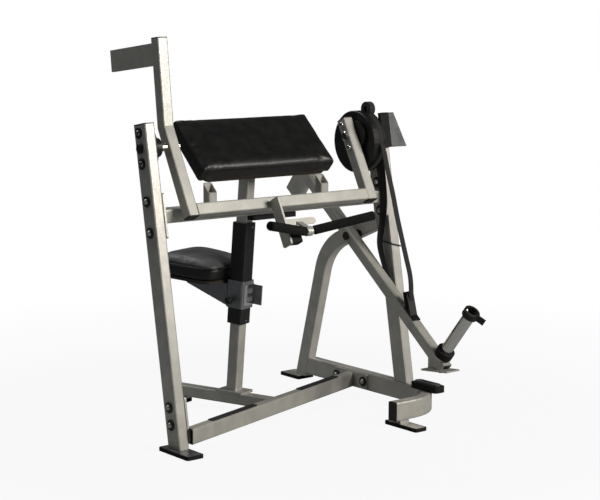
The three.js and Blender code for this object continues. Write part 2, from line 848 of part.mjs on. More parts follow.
function earedOutline(reach, bigRadius, smallRadius) {
  const spread = THREE.MathUtils.radToDeg(Math.acos((bigRadius - smallRadius) / reach));
  const arc = (y, radius, from, to, steps) =>
    Array.from({ length: steps + 1 }, (_, i) => {
      const angle = from + (to - from) * i / steps;
      return flat(radius * cosine(angle), y + radius * sine(angle));
    });
  return [
    ...arc(reach, smallRadius, 90 - spread, 90 + spread, roundSides / 2),
    ...arc(0, bigRadius, 90 + spread, 270 - spread, roundSides / 4),
    ...arc(-reach, smallRadius, 270 - spread, 270 + spread, roundSides / 2),
    ...arc(0, bigRadius, spread - 90, 90 - spread, roundSides / 4),
  ];
}

function bearing(thick, earThick, bolts) {
  const ears = plate(earedOutline(bearingBoltReach, bearingRadius, bearingEarRadius), earThick);
  const body = join(ears, rod(bearingRadius - bearingEarRadius / 4, thick, wideRoundSides));
  const bore = rod(boreRadius(shaftRadius, shaftGap, wideRoundSides), thick + 2 * cutOverrun, wideRoundSides);
  const housing = cut(body, shift(bore, 0, 0, -cutOverrun)).rotateZ(-radians(postLean));
  return bolts ? join(sideways(housing), ...bolts) : sideways(housing);
}

const bearingShanks = bearingBolts.map(([y, z]) =>
  shift(sideways(bolt(tubeWide)), -tubeWide - seatGap, y - pivotY, z - pivotZ));
const bearingEarThick = 12;
add("left_bearing", bearing(leftBearingThick, bearingEarThick, bearingShanks), blackPaint, machine, [tubeWide + seatGap, pivotY, pivotZ]);
const rightBearingX = rightFlangeX - seatGap - rightBearingThick;
add("right_bearing", bearing(rightBearingThick, rightBearingThick), blackPaint, machine, [rightBearingX, pivotY, pivotZ]);
const pivotCap = turned([
  [0, -pivotCapThick],
  [pivotCapRadius * 0.8, -pivotCapThick],
  [pivotCapRadius, -pivotCapThick * 0.6],
  [pivotCapRadius, -seatGap],
  [shaftRadius, -seatGap],
  [shaftRadius, tubeWall],
  [0, tubeWall],
]);
add("pivot_cap", sideways(pivotCap), blackPlastic, machine, [0, pivotY, pivotZ]);

// Limit strap: a flat strap down the upright's left face, with a clip on a band round the upright
const strapX = rightFlangeX - seatGap - strapThick - strapStandoff;
const uprightFrontY = (z) => postMiddleY(z) - tubeDeep / 2 / cosine(postLean);

// The outline of a band of one width along points, as seen from its side.
function ribbon(points, wide) {
  const normals = points.map((p, i) => {
    const before = points[Math.max(i - 1, 0)];
    const after = points[Math.min(i + 1, points.length - 1)];
    const run = after.clone().sub(before).normalize();
    return flat(-run.y, run.x).multiplyScalar(wide / 2);
  });
  const left = points.map((p, i) => p.clone().add(normals[i]));
  const right = points.map((p, i) => p.clone().sub(normals[i])).reverse();
  return [...left, ...right];
}

function strapBand() {
  const around = 2 * (bandThick + seatGap);
  const outer = roundedRectangle(tubeWide + around, tubeDeep + around, tubeCorner);
  const inner = roundedRectangle(tubeWide + 2 * seatGap, tubeDeep + 2 * seatGap, tubeCorner);
  const hollow = shift(plate(inner, bandTall + 2 * cutOverrun), 0, 0, -cutOverrun);
  const clipStart = strapX + strapThick - weldSink - rightX;
  const clipWide = weldSink - tubeWide / 2 - seatGap - bandThick - clipStart;
  const clip = block(clipWide, bandClipLong, bandTall);
  const clipped = shift(clip, clipStart + clipWide / 2, bandClipBackset - tubeDeep / 2, bandTall / 2);
  const band = join(cut(plate(outer, bandTall), hollow), clipped);
  const leaning = band.rotateX(-radians(postLean));
  return leaning.translate(rightX, postMiddleY(bandZ), bandZ);
}

function limitStrap() {
  const points = strapRoute.map(([backset, z]) => flat(uprightFrontY(z) + backset, z));
  const strip = sideways(plate(ribbon(points, strapWide), strapThick));
  const stud = (point, length) => shift(sideways(rod(boltRadius, length)), 0, point.x, point.y);
  const topStud = stud(points[0], strapThick + strapStandoff);
  const lowStud = stud(points[points.length - 1], rightFaceX - seatGap - strapX);
  return join(shift(join(strip, topStud, lowStud), strapX, 0, 0), strapBand());
}
add("limit_strap", limitStrap(), webbing, machine);

// Guard plate on the upright's front, wider towards its foot, with a rubber buffer on its left part
const guardLow = (guardBottomZ - uprightBottomZ) / cosine(postLean);
const guardHigh = (guardTopZ - uprightBottomZ) / cosine(postLean);
const guardBackY = -tubeDeep / 2 - seatGap;

function guardPlate() {
  const outline = [
    flat(-tubeWide / 2, guardLow),
    flat(tubeWide / 2 + guardLowThrow, guardLow),
    flat(tubeWide / 2 + guardHighThrow, guardHigh),
    flat(-tubeWide / 2, guardHigh),
  ];
  return plate(outline, guardThick).rotateX(Math.PI / 2).translate(0, guardBackY, 0);
}

function guardBuffer() {
  const outline = roundedRectangle(tubeWide, guardHigh - guardLow, flangeCorner);
  const pad = plate(outline, bufferThick).rotateX(Math.PI / 2);
  return pad.translate(0, guardBackY - guardThick - seatGap, (guardLow + guardHigh) / 2);
}
add("guard_plate", guardPlate(), greyPlate, uprightGroup);
add("guard_buffer", guardBuffer(), rubber, uprightGroup);

// Curl arm: its frame has the pivot axis along X and the lower tubes down its Z
const curlArm = groupAt(machine, [0, pivotY, pivotZ], [-armSlope, 0, 0]);
const armBendZ = armHead + armTube * 0.22;
const armBend = armSlope - armTopLean;
const armFootZ = -armReach;
const armCrossZ = armFootZ + armTube / 2;
const armInnerLeft = armLeftX + armTube;

function sideBore(x, z, radius) {
  const bore = sideways(rod(radius, armTube + 2 * cutOverrun));
  return shift(bore, x - cutOverrun, 0, z);
}

function armStations(x, bent) {
  const across = new THREE.Vector3(1, 0, 0);
  const middle = x + armTube / 2;
  const straight = new THREE.Vector3(0, 1, 0);
  const foot = { at: new THREE.Vector3(middle, 0, armFootZ), across, deep: straight };
  if (!bent) return [foot, { at: new THREE.Vector3(middle, 0, armHead), across, deep: straight }];
  const half = new THREE.Vector3(0, cosine(armBend / 2), sine(armBend / 2)).divideScalar(cosine(armBend / 2));
  const end = new THREE.Vector3(0, cosine(armBend), sine(armBend));
  const run = new THREE.Vector3(0, -sine(armBend), cosine(armBend));
  const bend = new THREE.Vector3(middle, 0, armBendZ);
  const top = bend.clone().addScaledVector(run, armTopLength);
  return [foot, { at: bend, across, deep: half }, { at: top, across, deep: end }];
}
const shaftSeat = boreRadius(shaftRadius, seatGap, roundSides);
const leftTube = cut(bentTube(armStock, armStations(armLeftX, true)), sideBore(armLeftX, 0, shaftSeat));
add("arm_left_tube", leftTube, silverPaint, curlArm);
const rightTube = cut(
  bentTube(armStock, armStations(armRightX, false)),
  sideBore(armRightX, 0, shaftSeat),
  sideBore(armRightX, armBoltSpacing, boreRadius(boltRadius, seatGap, roundSides)),
  sideBore(armRightX, -armBoltSpacing, boreRadius(boltRadius, seatGap, roundSides)),
);
add("arm_right_tube", rightTube, silverPaint, curlArm);
const armCrossLong = armRightX - armInnerLeft - 2 * seatGap;
add("arm_cross_tube", crosswise(tube(armStock, armCrossLong)), silverPaint, curlArm, [armInnerLeft + seatGap, 0, armCrossZ]);

const cap = endCap(armStock);
const capDown = cap.clone().rotateX(Math.PI);
const leftMiddle = armLeftX + armTube / 2;
const rightMiddle = armRightX + armTube / 2;
add("arm_left_cap", capDown, blackPlastic, curlArm, [leftMiddle, 0, armFootZ - seatGap]);
add("arm_right_cap", capDown, blackPlastic, curlArm, [rightMiddle, 0, armFootZ - seatGap]);
add("arm_right_top_cap", cap, blackPlastic, curlArm, [rightMiddle, 0, armHead + seatGap]);

// The upper part of the left tube has a frame of its own, with its origin in the bend
const armTop = groupAt(curlArm, [leftMiddle, 0, armBendZ], [armBend, 0, 0]);
add("arm_top_cap", cap, blackPlastic, armTop, [0, 0, armTopLength + seatGap]);

function counterweight() {
  const slab = block(counterweightThick, counterweightLong, counterweightDeep);
  const startY = armTube / 2 + seatGap;
  const lug = block(counterweightThick + 2 * flangeThick, counterweightLug, counterweightDeep - 2 * flangeThick);
  const z = armTopLength - counterweightDrop - counterweightDeep / 2;
  return join(
    shift(slab, 0, startY + counterweightLug - weldSink + counterweightLong / 2, z),
    shift(lug, 0, startY + counterweightLug / 2, z),
  );
}
add("counterweight_bar", counterweight(), silverPaint, armTop);

// Pivot shafts
function shaft(length, headRadius, headThick) {
  return turned([
    [0, -headThick],
    [headRadius * 0.75, -headThick],
    [headRadius, -headThick * 0.6],
    [headRadius, 0],
    [shaftRadius, 0],
    [shaftRadius, length],
    [0, length],
  ], wideRoundSides);
}
const leftShaftLong = armInnerLeft + seatGap - tubeWall - seatGap * 2;
const leftShaft = sideways(shaft(leftShaftLong, shaftHeadRadius, shaftHeadThick)).rotateZ(Math.PI);
add("left_shaft", leftShaft, chrome, curlArm, [armInnerLeft + seatGap, 0, 0]);
const rightShaftLong = rightBearingX + rightBearingThick - armRightX;
add("right_shaft", sideways(shaft(rightShaftLong, shaftHeadRadius, shaftHeadThick)), chrome, curlArm, [armRightX - seatGap, 0, 0]);

// Cam: an eccentric disc with a groove for the belt, on a hub that is bolted to the right tube
const camX = armRightX + armTube + seatGap;
const camWheelThick = camDiscThick + camGrooveWide + camLipThick;
const camThick = camHubThick + camWheelThick;

function cam() {
  const groove = camDiscThick + camGrooveWide;
  const wheel = turned([
    [0, 0],
    [camLipRadius - camEdge, 0],
    [camLipRadius, camEdge],
    [camLipRadius, camDiscThick],
    [camRadius, camDiscThick],
    [camRadius, groove],
    [camLipRadius, groove],
    [camLipRadius, camWheelThick],
    [0, camWheelThick],
  ], camSteps).translate(camOffsetY, camOffsetZ, camHubThick);
  const hub = rod(camHubRadius, camHubThick + weldSink, wideRoundSides);
  const bore = shift(rod(shaftSeat, camThick + 2 * cutOverrun), 0, 0, -cutOverrun);
  const screws = [-1, 1].map((side) => {
    const screw = turned([
      [0, -armTube - 2 * seatGap - armBoltTall],
      [armBoltRadius, -armTube - 2 * seatGap - armBoltTall],
      [armBoltRadius, -armTube - 2 * seatGap],
      [boltRadius, -armTube - 2 * seatGap],
      [boltRadius, flangeThick],
      [0, flangeThick],
    ]);
    return shift(screw, 0, side * armBoltSpacing, 0);
  });
  return sideways(join(cut(join(wheel, hub), bore), ...screws));
}
add("cam", cam(), blackPaint, curlArm, [camX, 0, 0]);

// The belt lies in the cam's groove and ends in an eye that stands off it
const beltInner = camRadius + seatGap;
const beltOuter = beltInner + beltThick;
const beltX = camX + camHubThick + camDiscThick + (camGrooveWide - beltWide) / 2;

function camBelt() {
  const sweep = 360 * beltCoverShare;
  const start = beltStartAngle;
  const arc = (radius, from, to) =>
    Array.from({ length: camSteps + 1 }, (_, i) => {
      const angle = from + (to - from) * i / camSteps;
      return flat(radius * cosine(angle), radius * sine(angle));
    });
  const band = plate([...arc(beltInner, start, start + sweep), ...arc(beltOuter, start + sweep, start)], beltWide);
  const eyeReach = beltInner + beltLift;
  const eyeX = eyeReach * cosine(beltEyeAngle);
  const eyeY = eyeReach * sine(beltEyeAngle);
  const eyeOutline = Array.from({ length: roundSides }, (_, i) => {
    const angle = 360 * i / roundSides;
    return flat(eyeX + beltEyeRadius * cosine(angle), eyeY + beltEyeRadius * sine(angle));
  });
  const eye = plate(eyeOutline, beltWide, [[eyeX, eyeY, beltEyeHole]]);
  const seat = shift(rod(beltInner, beltWide + 2 * cutOverrun, 2 * camSteps), 0, 0, -cutOverrun);
  const whole = cut(join(band, eye), seat);
  return sideways(whole.translate(camOffsetY, camOffsetZ, 0));
}
add("cam_belt", camBelt(), webbing, curlArm, [beltX, 0, 0]);

// Handle bracket: a long cheek on the cross tube, a bridge to its right, a neck and the handle's sleeve
const handleLocalY = (handleY - pivotY) * cosine(armSlope) - (handleZ - pivotZ) * sine(armSlope);
const handleLocalZ = (handleY - pivotY) * sine(armSlope) + (handleZ - pivotZ) * cosine(armSlope);
const cheekBackY = -armTube / 2 - seatGap;
const cheekMiddleY = cheekBackY - cheekDeep / 2;
const cheekHighZ = armCrossZ + armTube / 2 - cheekDrop;
const bridgeZ = armFootZ - bridgeDrop - bridgeTall / 2;
const bridgeX = handleX - (cheekSpacing - bridgeLong) / 2;
const sleeveBore = boreRadius(handleBarRadius, shaftGap, roundSides);

function handleBracket() {
  const cheekX = handleX - cheekSpacing / 2 - cheekThick / 2;
  const cheekSheet = sideways(plate(roundedRectangle(cheekDeep, cheekLong, flangeCorner), cheekThick));
  const cheek = shift(cheekSheet, cheekX, cheekMiddleY, cheekHighZ - cheekLong / 2);
  const bridgeSheet = plate(roundedRectangle(bridgeLong, bridgeTall, bridgeCorner), bridgeThick);
  const bridge = shift(bridgeSheet.rotateX(Math.PI / 2), bridgeX, cheekMiddleY + bridgeThick / 2, bridgeZ);
  const neckOutline = [
    flat(cheekMiddleY + bridgeThick / 2, bridgeZ),
    flat(cheekMiddleY - bridgeThick / 2, bridgeZ),
    flat(handleLocalY - sleeveRadius / 2, handleLocalZ + sleeveRadius / 2),
    flat(handleLocalY + sleeveRadius / 2, handleLocalZ + sleeveRadius / 4),
  ];
  const neck = shift(sideways(plate(neckOutline, neckWide)), handleX - neckWide / 2, 0, 0);
  const sleeve = shift(sideways(rod(sleeveRadius, sleeveLong)), handleX - sleeveLong / 2, handleLocalY, handleLocalZ);
  const bore = shift(
    sideways(rod(sleeveBore, sleeveLong + 2 * cutOverrun)),
    handleX - sleeveLong / 2 - cutOverrun,
    handleLocalY,
    handleLocalZ,
  );
  return cut(join(cheek, bridge, neck, sleeve), bore);
}
add("handle_bracket", handleBracket(), greyPlate, curlArm);

function stopBlock() {
  const outline = roundedRectangle(stopBlockDeep, stopBlockTall, flangeCorner);
  return sideways(plate(outline, stopBlockWide));
}
const cheekLowZ = cheekHighZ - cheekLong;
add("stop_block", stopBlock(), rubber, curlArm, [
  handleX - cheekSpacing / 2 + cheekThick / 2 + seatGap,
  cheekBackY - stopBlockForward - stopBlockDeep / 2,
  cheekLowZ + stopBlockRise + stopBlockTall / 2 - flangeCorner,
]);

// Handle: a cambered bar with two foam grips, in a frame of its own on the sleeve's axis
const handle = groupAt(curlArm, [handleX, handleLocalY, handleLocalZ]);
const gripRise = handleForward * -sine(armSlope) + handleRise * cosine(armSlope);
const gripForward = handleForward * cosine(armSlope) + handleRise * sine(armSlope);
const gripTip = (side) => new THREE.Vector3(side * handleHalf, -gripForward, gripRise);
const gripRoot = (side) => new THREE.Vector3(side * handleFlat, 0, 0);

function handleBar() {
  const path = new THREE.CurvePath();
  const easeShare = handleBarRadius / handleHalf;
  const leftEase = gripRoot(-1).lerp(gripTip(-1), easeShare);
  const rightEase = gripRoot(1).lerp(gripTip(1), easeShare);
  const innerLeft = gripRoot(-1).multiplyScalar(1 - easeShare);
  const innerRight = gripRoot(1).multiplyScalar(1 - easeShare);
  path.add(new THREE.LineCurve3(gripTip(-1), leftEase));
  path.add(new THREE.QuadraticBezierCurve3(leftEase, gripRoot(-1), innerLeft));
  path.add(new THREE.LineCurve3(innerLeft, innerRight));
  path.add(new THREE.QuadraticBezierCurve3(innerRight, gripRoot(1), rightEase));
  path.add(new THREE.LineCurve3(rightEase, gripTip(1)));
  const section = new THREE.Shape().absarc(0, 0, handleBarRadius, 0, Math.PI * 2);
  return new THREE.ExtrudeGeometry(section, {
    steps: handleSteps,
    extrudePath: path,
    curveSegments: handleSides / 2,
  });
}
add("handle_bar", handleBar(), chrome, handle);

function grip(long) {
  const inside = boreRadius(handleBarRadius, seatGap, roundSides / 2);
  return turned([
    [0, long],
    [inside, long],
    [inside, 0],
    [gripRadius, 0],
    [gripRadius, long + gripEnd],
    [0, long + gripEnd],
  ]);
}
[["left_grip", -1], ["right_grip", 1]].forEach(([name, side]) => {
  const run = gripTip(side).sub(gripRoot(side));
  const long = run.length() - gripStart + seatGap;
  const mesh = add(name, grip(long), foam, handle);
  mesh.position.copy(gripRoot(side)).addScaledVector(run.clone().normalize(), gripStart);
  mesh.quaternion.setFromUnitVectors(new THREE.Vector3(0, 0, 1), run.normalize());
});

// Weight arm: its frame has the lever along Y, rising to the rear, and the horn along Z
const leverX = rightFaceX - leverGap - leverWide / 2;
const weightArm = groupAt(machine, [leverX, leverPivotY, leverPivotZ], [leverSlope, 0, 0]);

// Brings a shape that is drawn level at a place in Y and Z into the weight arm's frame.
function intoLever(geometry) {
  return geometry.clone().translate(0, -leverPivotY, -leverPivotZ).rotateX(-radians(leverSlope));
}
const leverBore = boreRadius(leverShaftRadius, shaftGap, wideRoundSides);
const leverTopZ = leverDeep / 2;

function leverTube() {
  const size = { wide: leverWide, deep: leverDeep, wall: tubeWall, corner: tubeCorner };
  const bar = shift(lengthwise(tube(size, leverFront + leverRear)), 0, -leverFront, 0);
  const bossLong = leverWide + 2 * leverBossProud;
  const boss = shift(sideways(rod(leverBossRadius, bossLong, wideRoundSides)), -bossLong / 2, 0, 0);
  const boreLong = bossLong + 2 * cutOverrun;
  const bore = shift(sideways(rod(leverBore, boreLong, wideRoundSides)), -boreLong / 2, 0, 0);
  const stopLong = stopPlateRearY - stopPlateFrontY;
  const stopSheet = plate(roundedRectangle(stopPlateWide, stopLong, flangeCorner), stopPlateThick);
  const stop = shift(stopSheet, 0, -stopLong / 2, 0)
    .rotateX(-radians(stopPlateTilt))
    .translate(0, stopPlateRearY, stopPlateRearZ);
  const stopTop = (y) =>
    stopPlateRearZ + stopPlateThick / cosine(stopPlateTilt) + (stopPlateRearY - y) * slopeOf(stopPlateTilt);
  const lowEdge = (y) => leverPivotZ - leverDeep / 2 / cosine(leverSlope) + (y - leverPivotY) * slopeOf(leverSlope);
  const gussetRearY = stopPlateRearY - flangeThick;
  const gussetFrontY = leverPivotY + (stopPlateRearZ + stopPlateThick - lowEdge(leverPivotY)) / slopeOf(leverSlope);
  const gusset = sideways(plate([
    flat(gussetRearY, stopTop(gussetRearY) - weldSink),
    flat(gussetRearY, lowEdge(gussetRearY) + weldSink),
    flat(gussetFrontY, stopTop(gussetFrontY) + weldSink),
    flat(gussetFrontY - weldSink, stopTop(gussetFrontY) - weldSink),
  ], gussetThick));
  const welded = join(bar, boss, intoLever(stop), intoLever(shift(gusset, -gussetThick / 2, 0, 0)));
  return cut(welded, bore);
}
add("lever_tube", leverTube(), silverPaint, weightArm);

const leverBar = block(leverWide, leverBarDeep, leverBarLong);
add("lever_counterweight", leverBar, silverPaint, weightArm, [0, leverRear + seatGap + leverBarDeep / 2, -leverBarDrop]);

// The lever's shaft stands on the brace's left face
function leverShaft() {
  const faceX = rightFaceX - seatGap;
  const tipX = leverX - leverWide / 2 - leverBossProud - seatGap;
  return sideways(turned([
    [0, tipX - shaftHeadThick],
    [leverBossRadius * 0.8, tipX - shaftHeadThick],
    [leverBossRadius * 0.8, tipX],
    [leverShaftRadius, tipX],
    [leverShaftRadius, faceX - flangeThick],
    [leverFlangeRadius, faceX - flangeThick],
    [leverFlangeRadius, faceX],
    [0, faceX],
  ], wideRoundSides));
}
add("lever_shaft", leverShaft(), chrome, machine, [0, leverPivotY, leverPivotZ]);

// Weight horn, its rubber collar and its spring clip
const hornY = -leverFront + hornSetback;
const hornFootZ = leverTopZ + seatGap;
const horn = turned([
  [0, 0],
  [hornRadius + flangeCorner, 0],
  [hornRadius + flangeCorner, flangeThick],
  [hornRadius, flangeThick],
  [hornRadius, hornLong - hornBevel],
  [hornRadius - hornBevel, hornLong],
  [hornBore, hornLong],
  [hornBore, flangeThick],
  [0, flangeThick],
], wideRoundSides);
add("weight_horn", horn, chrome, weightArm, [0, hornY, hornFootZ]);

function ring(outer, inner, thick, sides = wideRoundSides) {
  return cut(rod(outer, thick, sides), shift(rod(inner, thick + 2 * cutOverrun, sides), 0, 0, -cutOverrun));
}
const hornSleeve = boreRadius(hornRadius, seatGap, wideRoundSides);
const collarZ = hornFootZ + flangeThick + seatGap;
add("horn_collar", ring(collarRadius, hornSleeve, collarThick), rubber, weightArm, [0, hornY, collarZ]);

function hornClip() {
  const body = ring(clipRadius, hornSleeve, clipThick);
  const tail = block(clipTailLong, clipTailThick, clipThick);
  const reach = clipRadius + clipTailLong / 2 - clipTailThick / 2;
  return join(body, shift(tail, reach, 0, clipThick / 2).rotateZ(radians(clipTailTurn)));
}
const clipZ = hornFootZ + hornLong - clipFromEnd - clipThick;
add("horn_clip", hornClip(), blackPlastic, weightArm, [0, hornY, clipZ]);

// Belt clamp on the lever, pointing along the belt, which leaves the cam as a tangent
const clampY = -clampReach;
const worldOf = (y, z) => flat(
  leverPivotY + y * cosine(leverSlope) - z * sine(leverSlope),
  leverPivotZ + y * sine(leverSlope) + z * cosine(leverSlope),
);
const clampPoint = worldOf(clampY, leverTopZ);
const camMiddle = flat(
  pivotY + camOffsetY * cosine(armSlope) + camOffsetZ * sine(armSlope),
  pivotZ - camOffsetY * sine(armSlope) + camOffsetZ * cosine(armSlope),
);
const camAway = camMiddle.clone().sub(clampPoint);
const beltRadius = beltInner + beltThick / 2;
const beltLean = THREE.MathUtils.radToDeg(Math.atan2(camAway.x, camAway.y) - Math.asin(beltRadius / camAway.length()));
const beltReach = Math.sqrt(camAway.length() ** 2 - beltRadius ** 2);

// Brings a shape that is drawn about the belt's line, with Z up the belt from the clamp, to its place.
const alongBelt = (geometry) =>
  geometry.clone().rotateX(-radians(beltLean)).translate(0, clampPoint.x, clampPoint.y);

function beltClamp() {
  const slot = beltThick + 2 * seatGap;
  const jaws = shift(block(clampWide, slot + 2 * clampJaw, clampTall + clampBelow), 0, 0, (clampTall - clampBelow) / 2);
  const opening = shift(block(clampWide + 2 * cutOverrun, slot, clampTall), 0, 0, clampTall / 2 + clampFloor);
  const foot = block(clampWide, clampFootLong, clampFoot);
  const placedFoot = shift(foot, 0, clampY, leverTopZ + seatGap + clampFoot / 2);
  const below = block(2 * clampWide, 2 * clampTall, 2 * clampTall);
  const placedBelow = shift(below, 0, clampY, leverTopZ + seatGap - clampTall);
  return cut(join(intoLever(alongBelt(cut(jaws, opening))), placedFoot), placedBelow);
}
add("belt_clamp", beltClamp(), blackPaint, weightArm);

// Drive belt: its free stretch from the clamp up to where it meets the belt on the cam
function driveBelt() {
  const meet = Math.sqrt(beltOuter ** 2 - beltInner ** 2) + beltThick;
  const start = clampFloor + seatGap;
  const long = beltReach - meet - start;
  return alongBelt(shift(block(beltWide, beltThick, long), 0, 0, start + long / 2));
}
add("drive_belt", driveBelt(), webbing, machine, [leverX, 0, 0]);

// Seat rail, post and guides, in a frame that is square to the foot bar
const seatGroup = groupAt(machine, [seatPostX, seatPostY, 0], [0, 0, seatTurn]);
const seatRailTop = seatRailZ + seatRailTall;

// How far the foot bar's rear face is in front of the seat post, along the rail.
const footBarBehind = (() => {
  const gap = seatPostY - footBarMiddleY(seatPostX);
  return gap * cosine(footBarTurn) - footBarDeep / 2;
})();

function seatRail() {
  const size = { wide: seatRailWide, deep: seatRailTall, wall: tubeWall, corner: tubeCorner };
  const long = footBarBehind - seatGap + seatRailRear;
  const bar = lengthwise(tube(size, long)).translate(0, seatGap - footBarBehind, seatRailZ + seatRailTall / 2);
  const footY = seatRailRear - seatFootLong / 2;
  const riser = block(seatRailWide, seatRailWide, seatRailZ - footPlateTop + 2 * weldSink);
  const sheet = shift(footPlate(seatFootWide, seatFootLong), 0, footY, 0);
  return join(bar, shift(riser, 0, footY, (seatRailZ + footPlateTop) / 2), sheet);
}
add("seat_rail", seatRail(), silverPaint, seatGroup);
add("seat_shoe", shoe(seatFootWide, seatFootLong), rubber, seatGroup, [0, seatRailRear - seatFootLong / 2, 0]);

// The post's own frame leans forward from its base plate
const basePlateZ = seatRailTop + seatGap;
const postBaseZ = basePlateZ + basePlateThick;
const seatPostFrame = groupAt(seatGroup, [0, 0, postBaseZ], [seatPostLean, 0, 0]);
const ontoSeatPost = (geometry) => geometry.clone().rotateX(radians(seatPostLean)).translate(0, 0, postBaseZ);
const upSeatPost = (z) => (z - postBaseZ) / cosine(seatPostLean);

// Pad frame: Y up the pad's slope, Z out of its surface
const padGroup = groupAt(machine, [padX, padMidY, padMidZ], [padSlope, 0, 0]);
const boardLowZ = -padThick - seatGap - padBoardThick;

function seatPost() {
  const size = { wide: seatPostTube, deep: seatPostTube, wall: tubeWall, corner: tubeCorner };
  const bar = ontoSeatPost(shift(tube(size, upSeatPost(seatPostTopZ) + tubeDeep, slopeOf(seatPostLean), 0), 0, 0, -weldSink));
  const base = shift(plate(roundedRectangle(basePlateWide, basePlateLong, flangeCorner), basePlateThick), 0, 0, basePlateZ);
  machine.updateMatrixWorld(true);
  const overPad = shift(block(padWide, 2 * padLong, 2 * padLong), 0, 0, boardLowZ - seatGap + padLong);
  overPad.applyMatrix4(padGroup.matrixWorld).applyMatrix4(seatGroup.matrixWorld.clone().invert());
  return join(cut(bar, overPad), base);
}
add("seat_post", seatPost(), silverPaint, seatGroup);

// A guide sleeve of plastic round the post, on which the carriage slides
const guideLong = upSeatPost(guideTopZ) - upSeatPost(guideBottomZ);
const guideStock = {
  wide: guideOuter,
  deep: guideOuter,
  wall: (guideOuter - seatPostTube) / 2 - seatGap,
  corner: guideCorner,
};
add("guide_sleeve", tube(guideStock, guideLong), blackPlastic, seatPostFrame, [0, 0, upSeatPost(guideBottomZ)]);

// Carriage: a sleeve on the guide, with a tapering bracket under the seat, all square to the post
const sleeveInner = guideOuter + 2 * carriageGap;
const sleeveOuter = sleeveInner + 2 * carriageWall;
const carriageLow = upSeatPost(carriageBottomZ);
const trayTop = seatLowRise - seatGap;

function carriage() {
  const size = { wide: sleeveOuter, deep: sleeveOuter, wall: carriageWall, corner: guideCorner };
  const sleeve = shift(tube(size, carriageTall), 0, 0, carriageLow);
  const startY = sleeveOuter / 2 - carriageWall + weldSink;
  const cheekOutline = [
    flat(startY, carriageLow + bracketThick),
    flat(startY + bracketLong, trayTop - bracketNose),
    flat(startY + bracketLong, trayTop - weldSink),
    flat(startY, trayTop - weldSink),
  ];
  const cheekX = (side) => side * (sleeveOuter - bracketThick) / 2 - bracketThick / 2;
  const cheeks = [-1, 1].map((side) => shift(sideways(plate(cheekOutline, bracketThick)), cheekX(side), 0, 0));
  const tray = shift(block(sleeveOuter, bracketLong, bracketTrayThick), 0, startY + bracketLong / 2, trayTop - bracketTrayThick / 2);
  const ear = block(bracketThick, cheekReach + guideCorner + weldSink, cheekReachTall);
  const earY = -sleeveOuter / 2 + guideCorner + weldSink - (cheekReach + guideCorner + weldSink) / 2;
  const earZ = carriageLow + cheekReachLow + cheekReachTall / 2;
  return join(sleeve, ...cheeks, tray, shift(ear, cheekX(1) + bracketThick / 2, earY, earZ));
}
add("seat_carriage", carriage(), greyPlate, seatPostFrame);

// Latch plate on the carriage's front: three bars on a spine
function latchPlate() {
  const spine = block(latchSlot, latchThick, latchTall);
  const bars = [-1, 0, 1].map((row) =>
    shift(block(latchWide, latchThick, latchSlot), 0, 0, row * (latchTall - latchSlot) / 2));
  return join(shift(spine, (latchSlot - latchWide) / 2, 0, 0), ...bars);
}
const carriageMiddle = carriageLow + carriageTall / 2;
const carriageFrontY = -sleeveOuter / 2 - seatGap;
add("latch_plate", latchPlate(), chrome, seatPostFrame, [0, carriageFrontY - latchThick / 2, carriageMiddle]);

// Pull pin on the carriage's left face: a knob on a pin in a short housing
const pullPin = turned([
  [0, 0],
  [pinRadius, 0],
  [pinRadius, pinHouseLong],
  [pinHouseRadius, pinHouseLong],
  [knobRadius, pinHouseLong + knobLong * 0.3],
  [knobRadius, pinHouseLong + knobLong * 0.8],
  [knobRadius * 0.7, pinHouseLong + knobLong],
  [0, pinHouseLong + knobLong],
]).rotateY(-Math.PI / 2);
const carriageLeftX = -sleeveOuter / 2 - seatGap;
const pinZ = carriageLow + pinRise;
add("pull_pin", pullPin, blackPlastic, seatPostFrame, [carriageLeftX, pinBackset, pinZ]);

// A cushion from its outline at each inset: drawn-in sides, a round edge and a crown up to the last inset.
function cushion(outlineAt, tall, crown, lastInset) {
  const edge = tall * cushionEdgeShare;
  const levels = [];
  for (let i = 0; i <= cushionSideSteps; i += 1) {
    const share = i / cushionSideSteps;
    levels.push([cushionDraw * (1 - sine(90 * share)), (tall - edge) * share]);
  }
  for (let i = 1; i <= cushionEdgeSteps; i += 1) {
    const angle = 90 * i / cushionEdgeSteps;
    levels.push([edge * (1 - cosine(angle)), tall - edge + edge * sine(angle)]);
  }
  for (let i = 1; i <= cushionCrownSteps; i += 1) {
    const share = i / cushionCrownSteps;
    levels.push([edge + (lastInset - edge) * share, tall + crown * sine(90 * share)]);
  }
  return loft(levels.map(([inset, z]) => outlineAt(inset).map((p) => new THREE.Vector3(p.x, p.y, z))));
}

const seatFrontY = sleeveOuter / 2 + seatFrontGap;
const seatMiddleY = seatFrontY + seatLong / 2;

// Seat outline: a rounded rear and a narrower nose
function seatOutline(inset) {
  const points = [];
  const half = seatLong / 2 - inset;
  const squared = (value) => Math.sign(value) * Math.abs(value) ** seatSquareShare;
  for (let i = 0; i < wideRoundSides; i += 1) {
    const angle = 360 * (i + 1 / 2) / wideRoundSides;
    const x = squared(cosine(angle));
    const y = squared(sine(angle));
    const wide = (seatNoseWide + (seatRearWide - seatNoseWide) * (y + 1) / 2) / 2 - inset;
    points.push(flat(x * wide, y * half));
  }
  return points;
}
const seatBoard = plate(seatOutline(seatInset), seatBoardThick);
add("seat_board", seatBoard, plywood, seatPostFrame, [0, seatMiddleY, seatLowRise]);
const seatCushion = cushion(seatOutline, seatCushionTall, seatCrown, seatNoseWide / 2 - seatInset);
const seatBottom = seatLowRise + seatBoardThick + seatGap;
add("seat_cushion", seatCushion, vinyl, seatPostFrame, [0, seatMiddleY, seatBottom]);

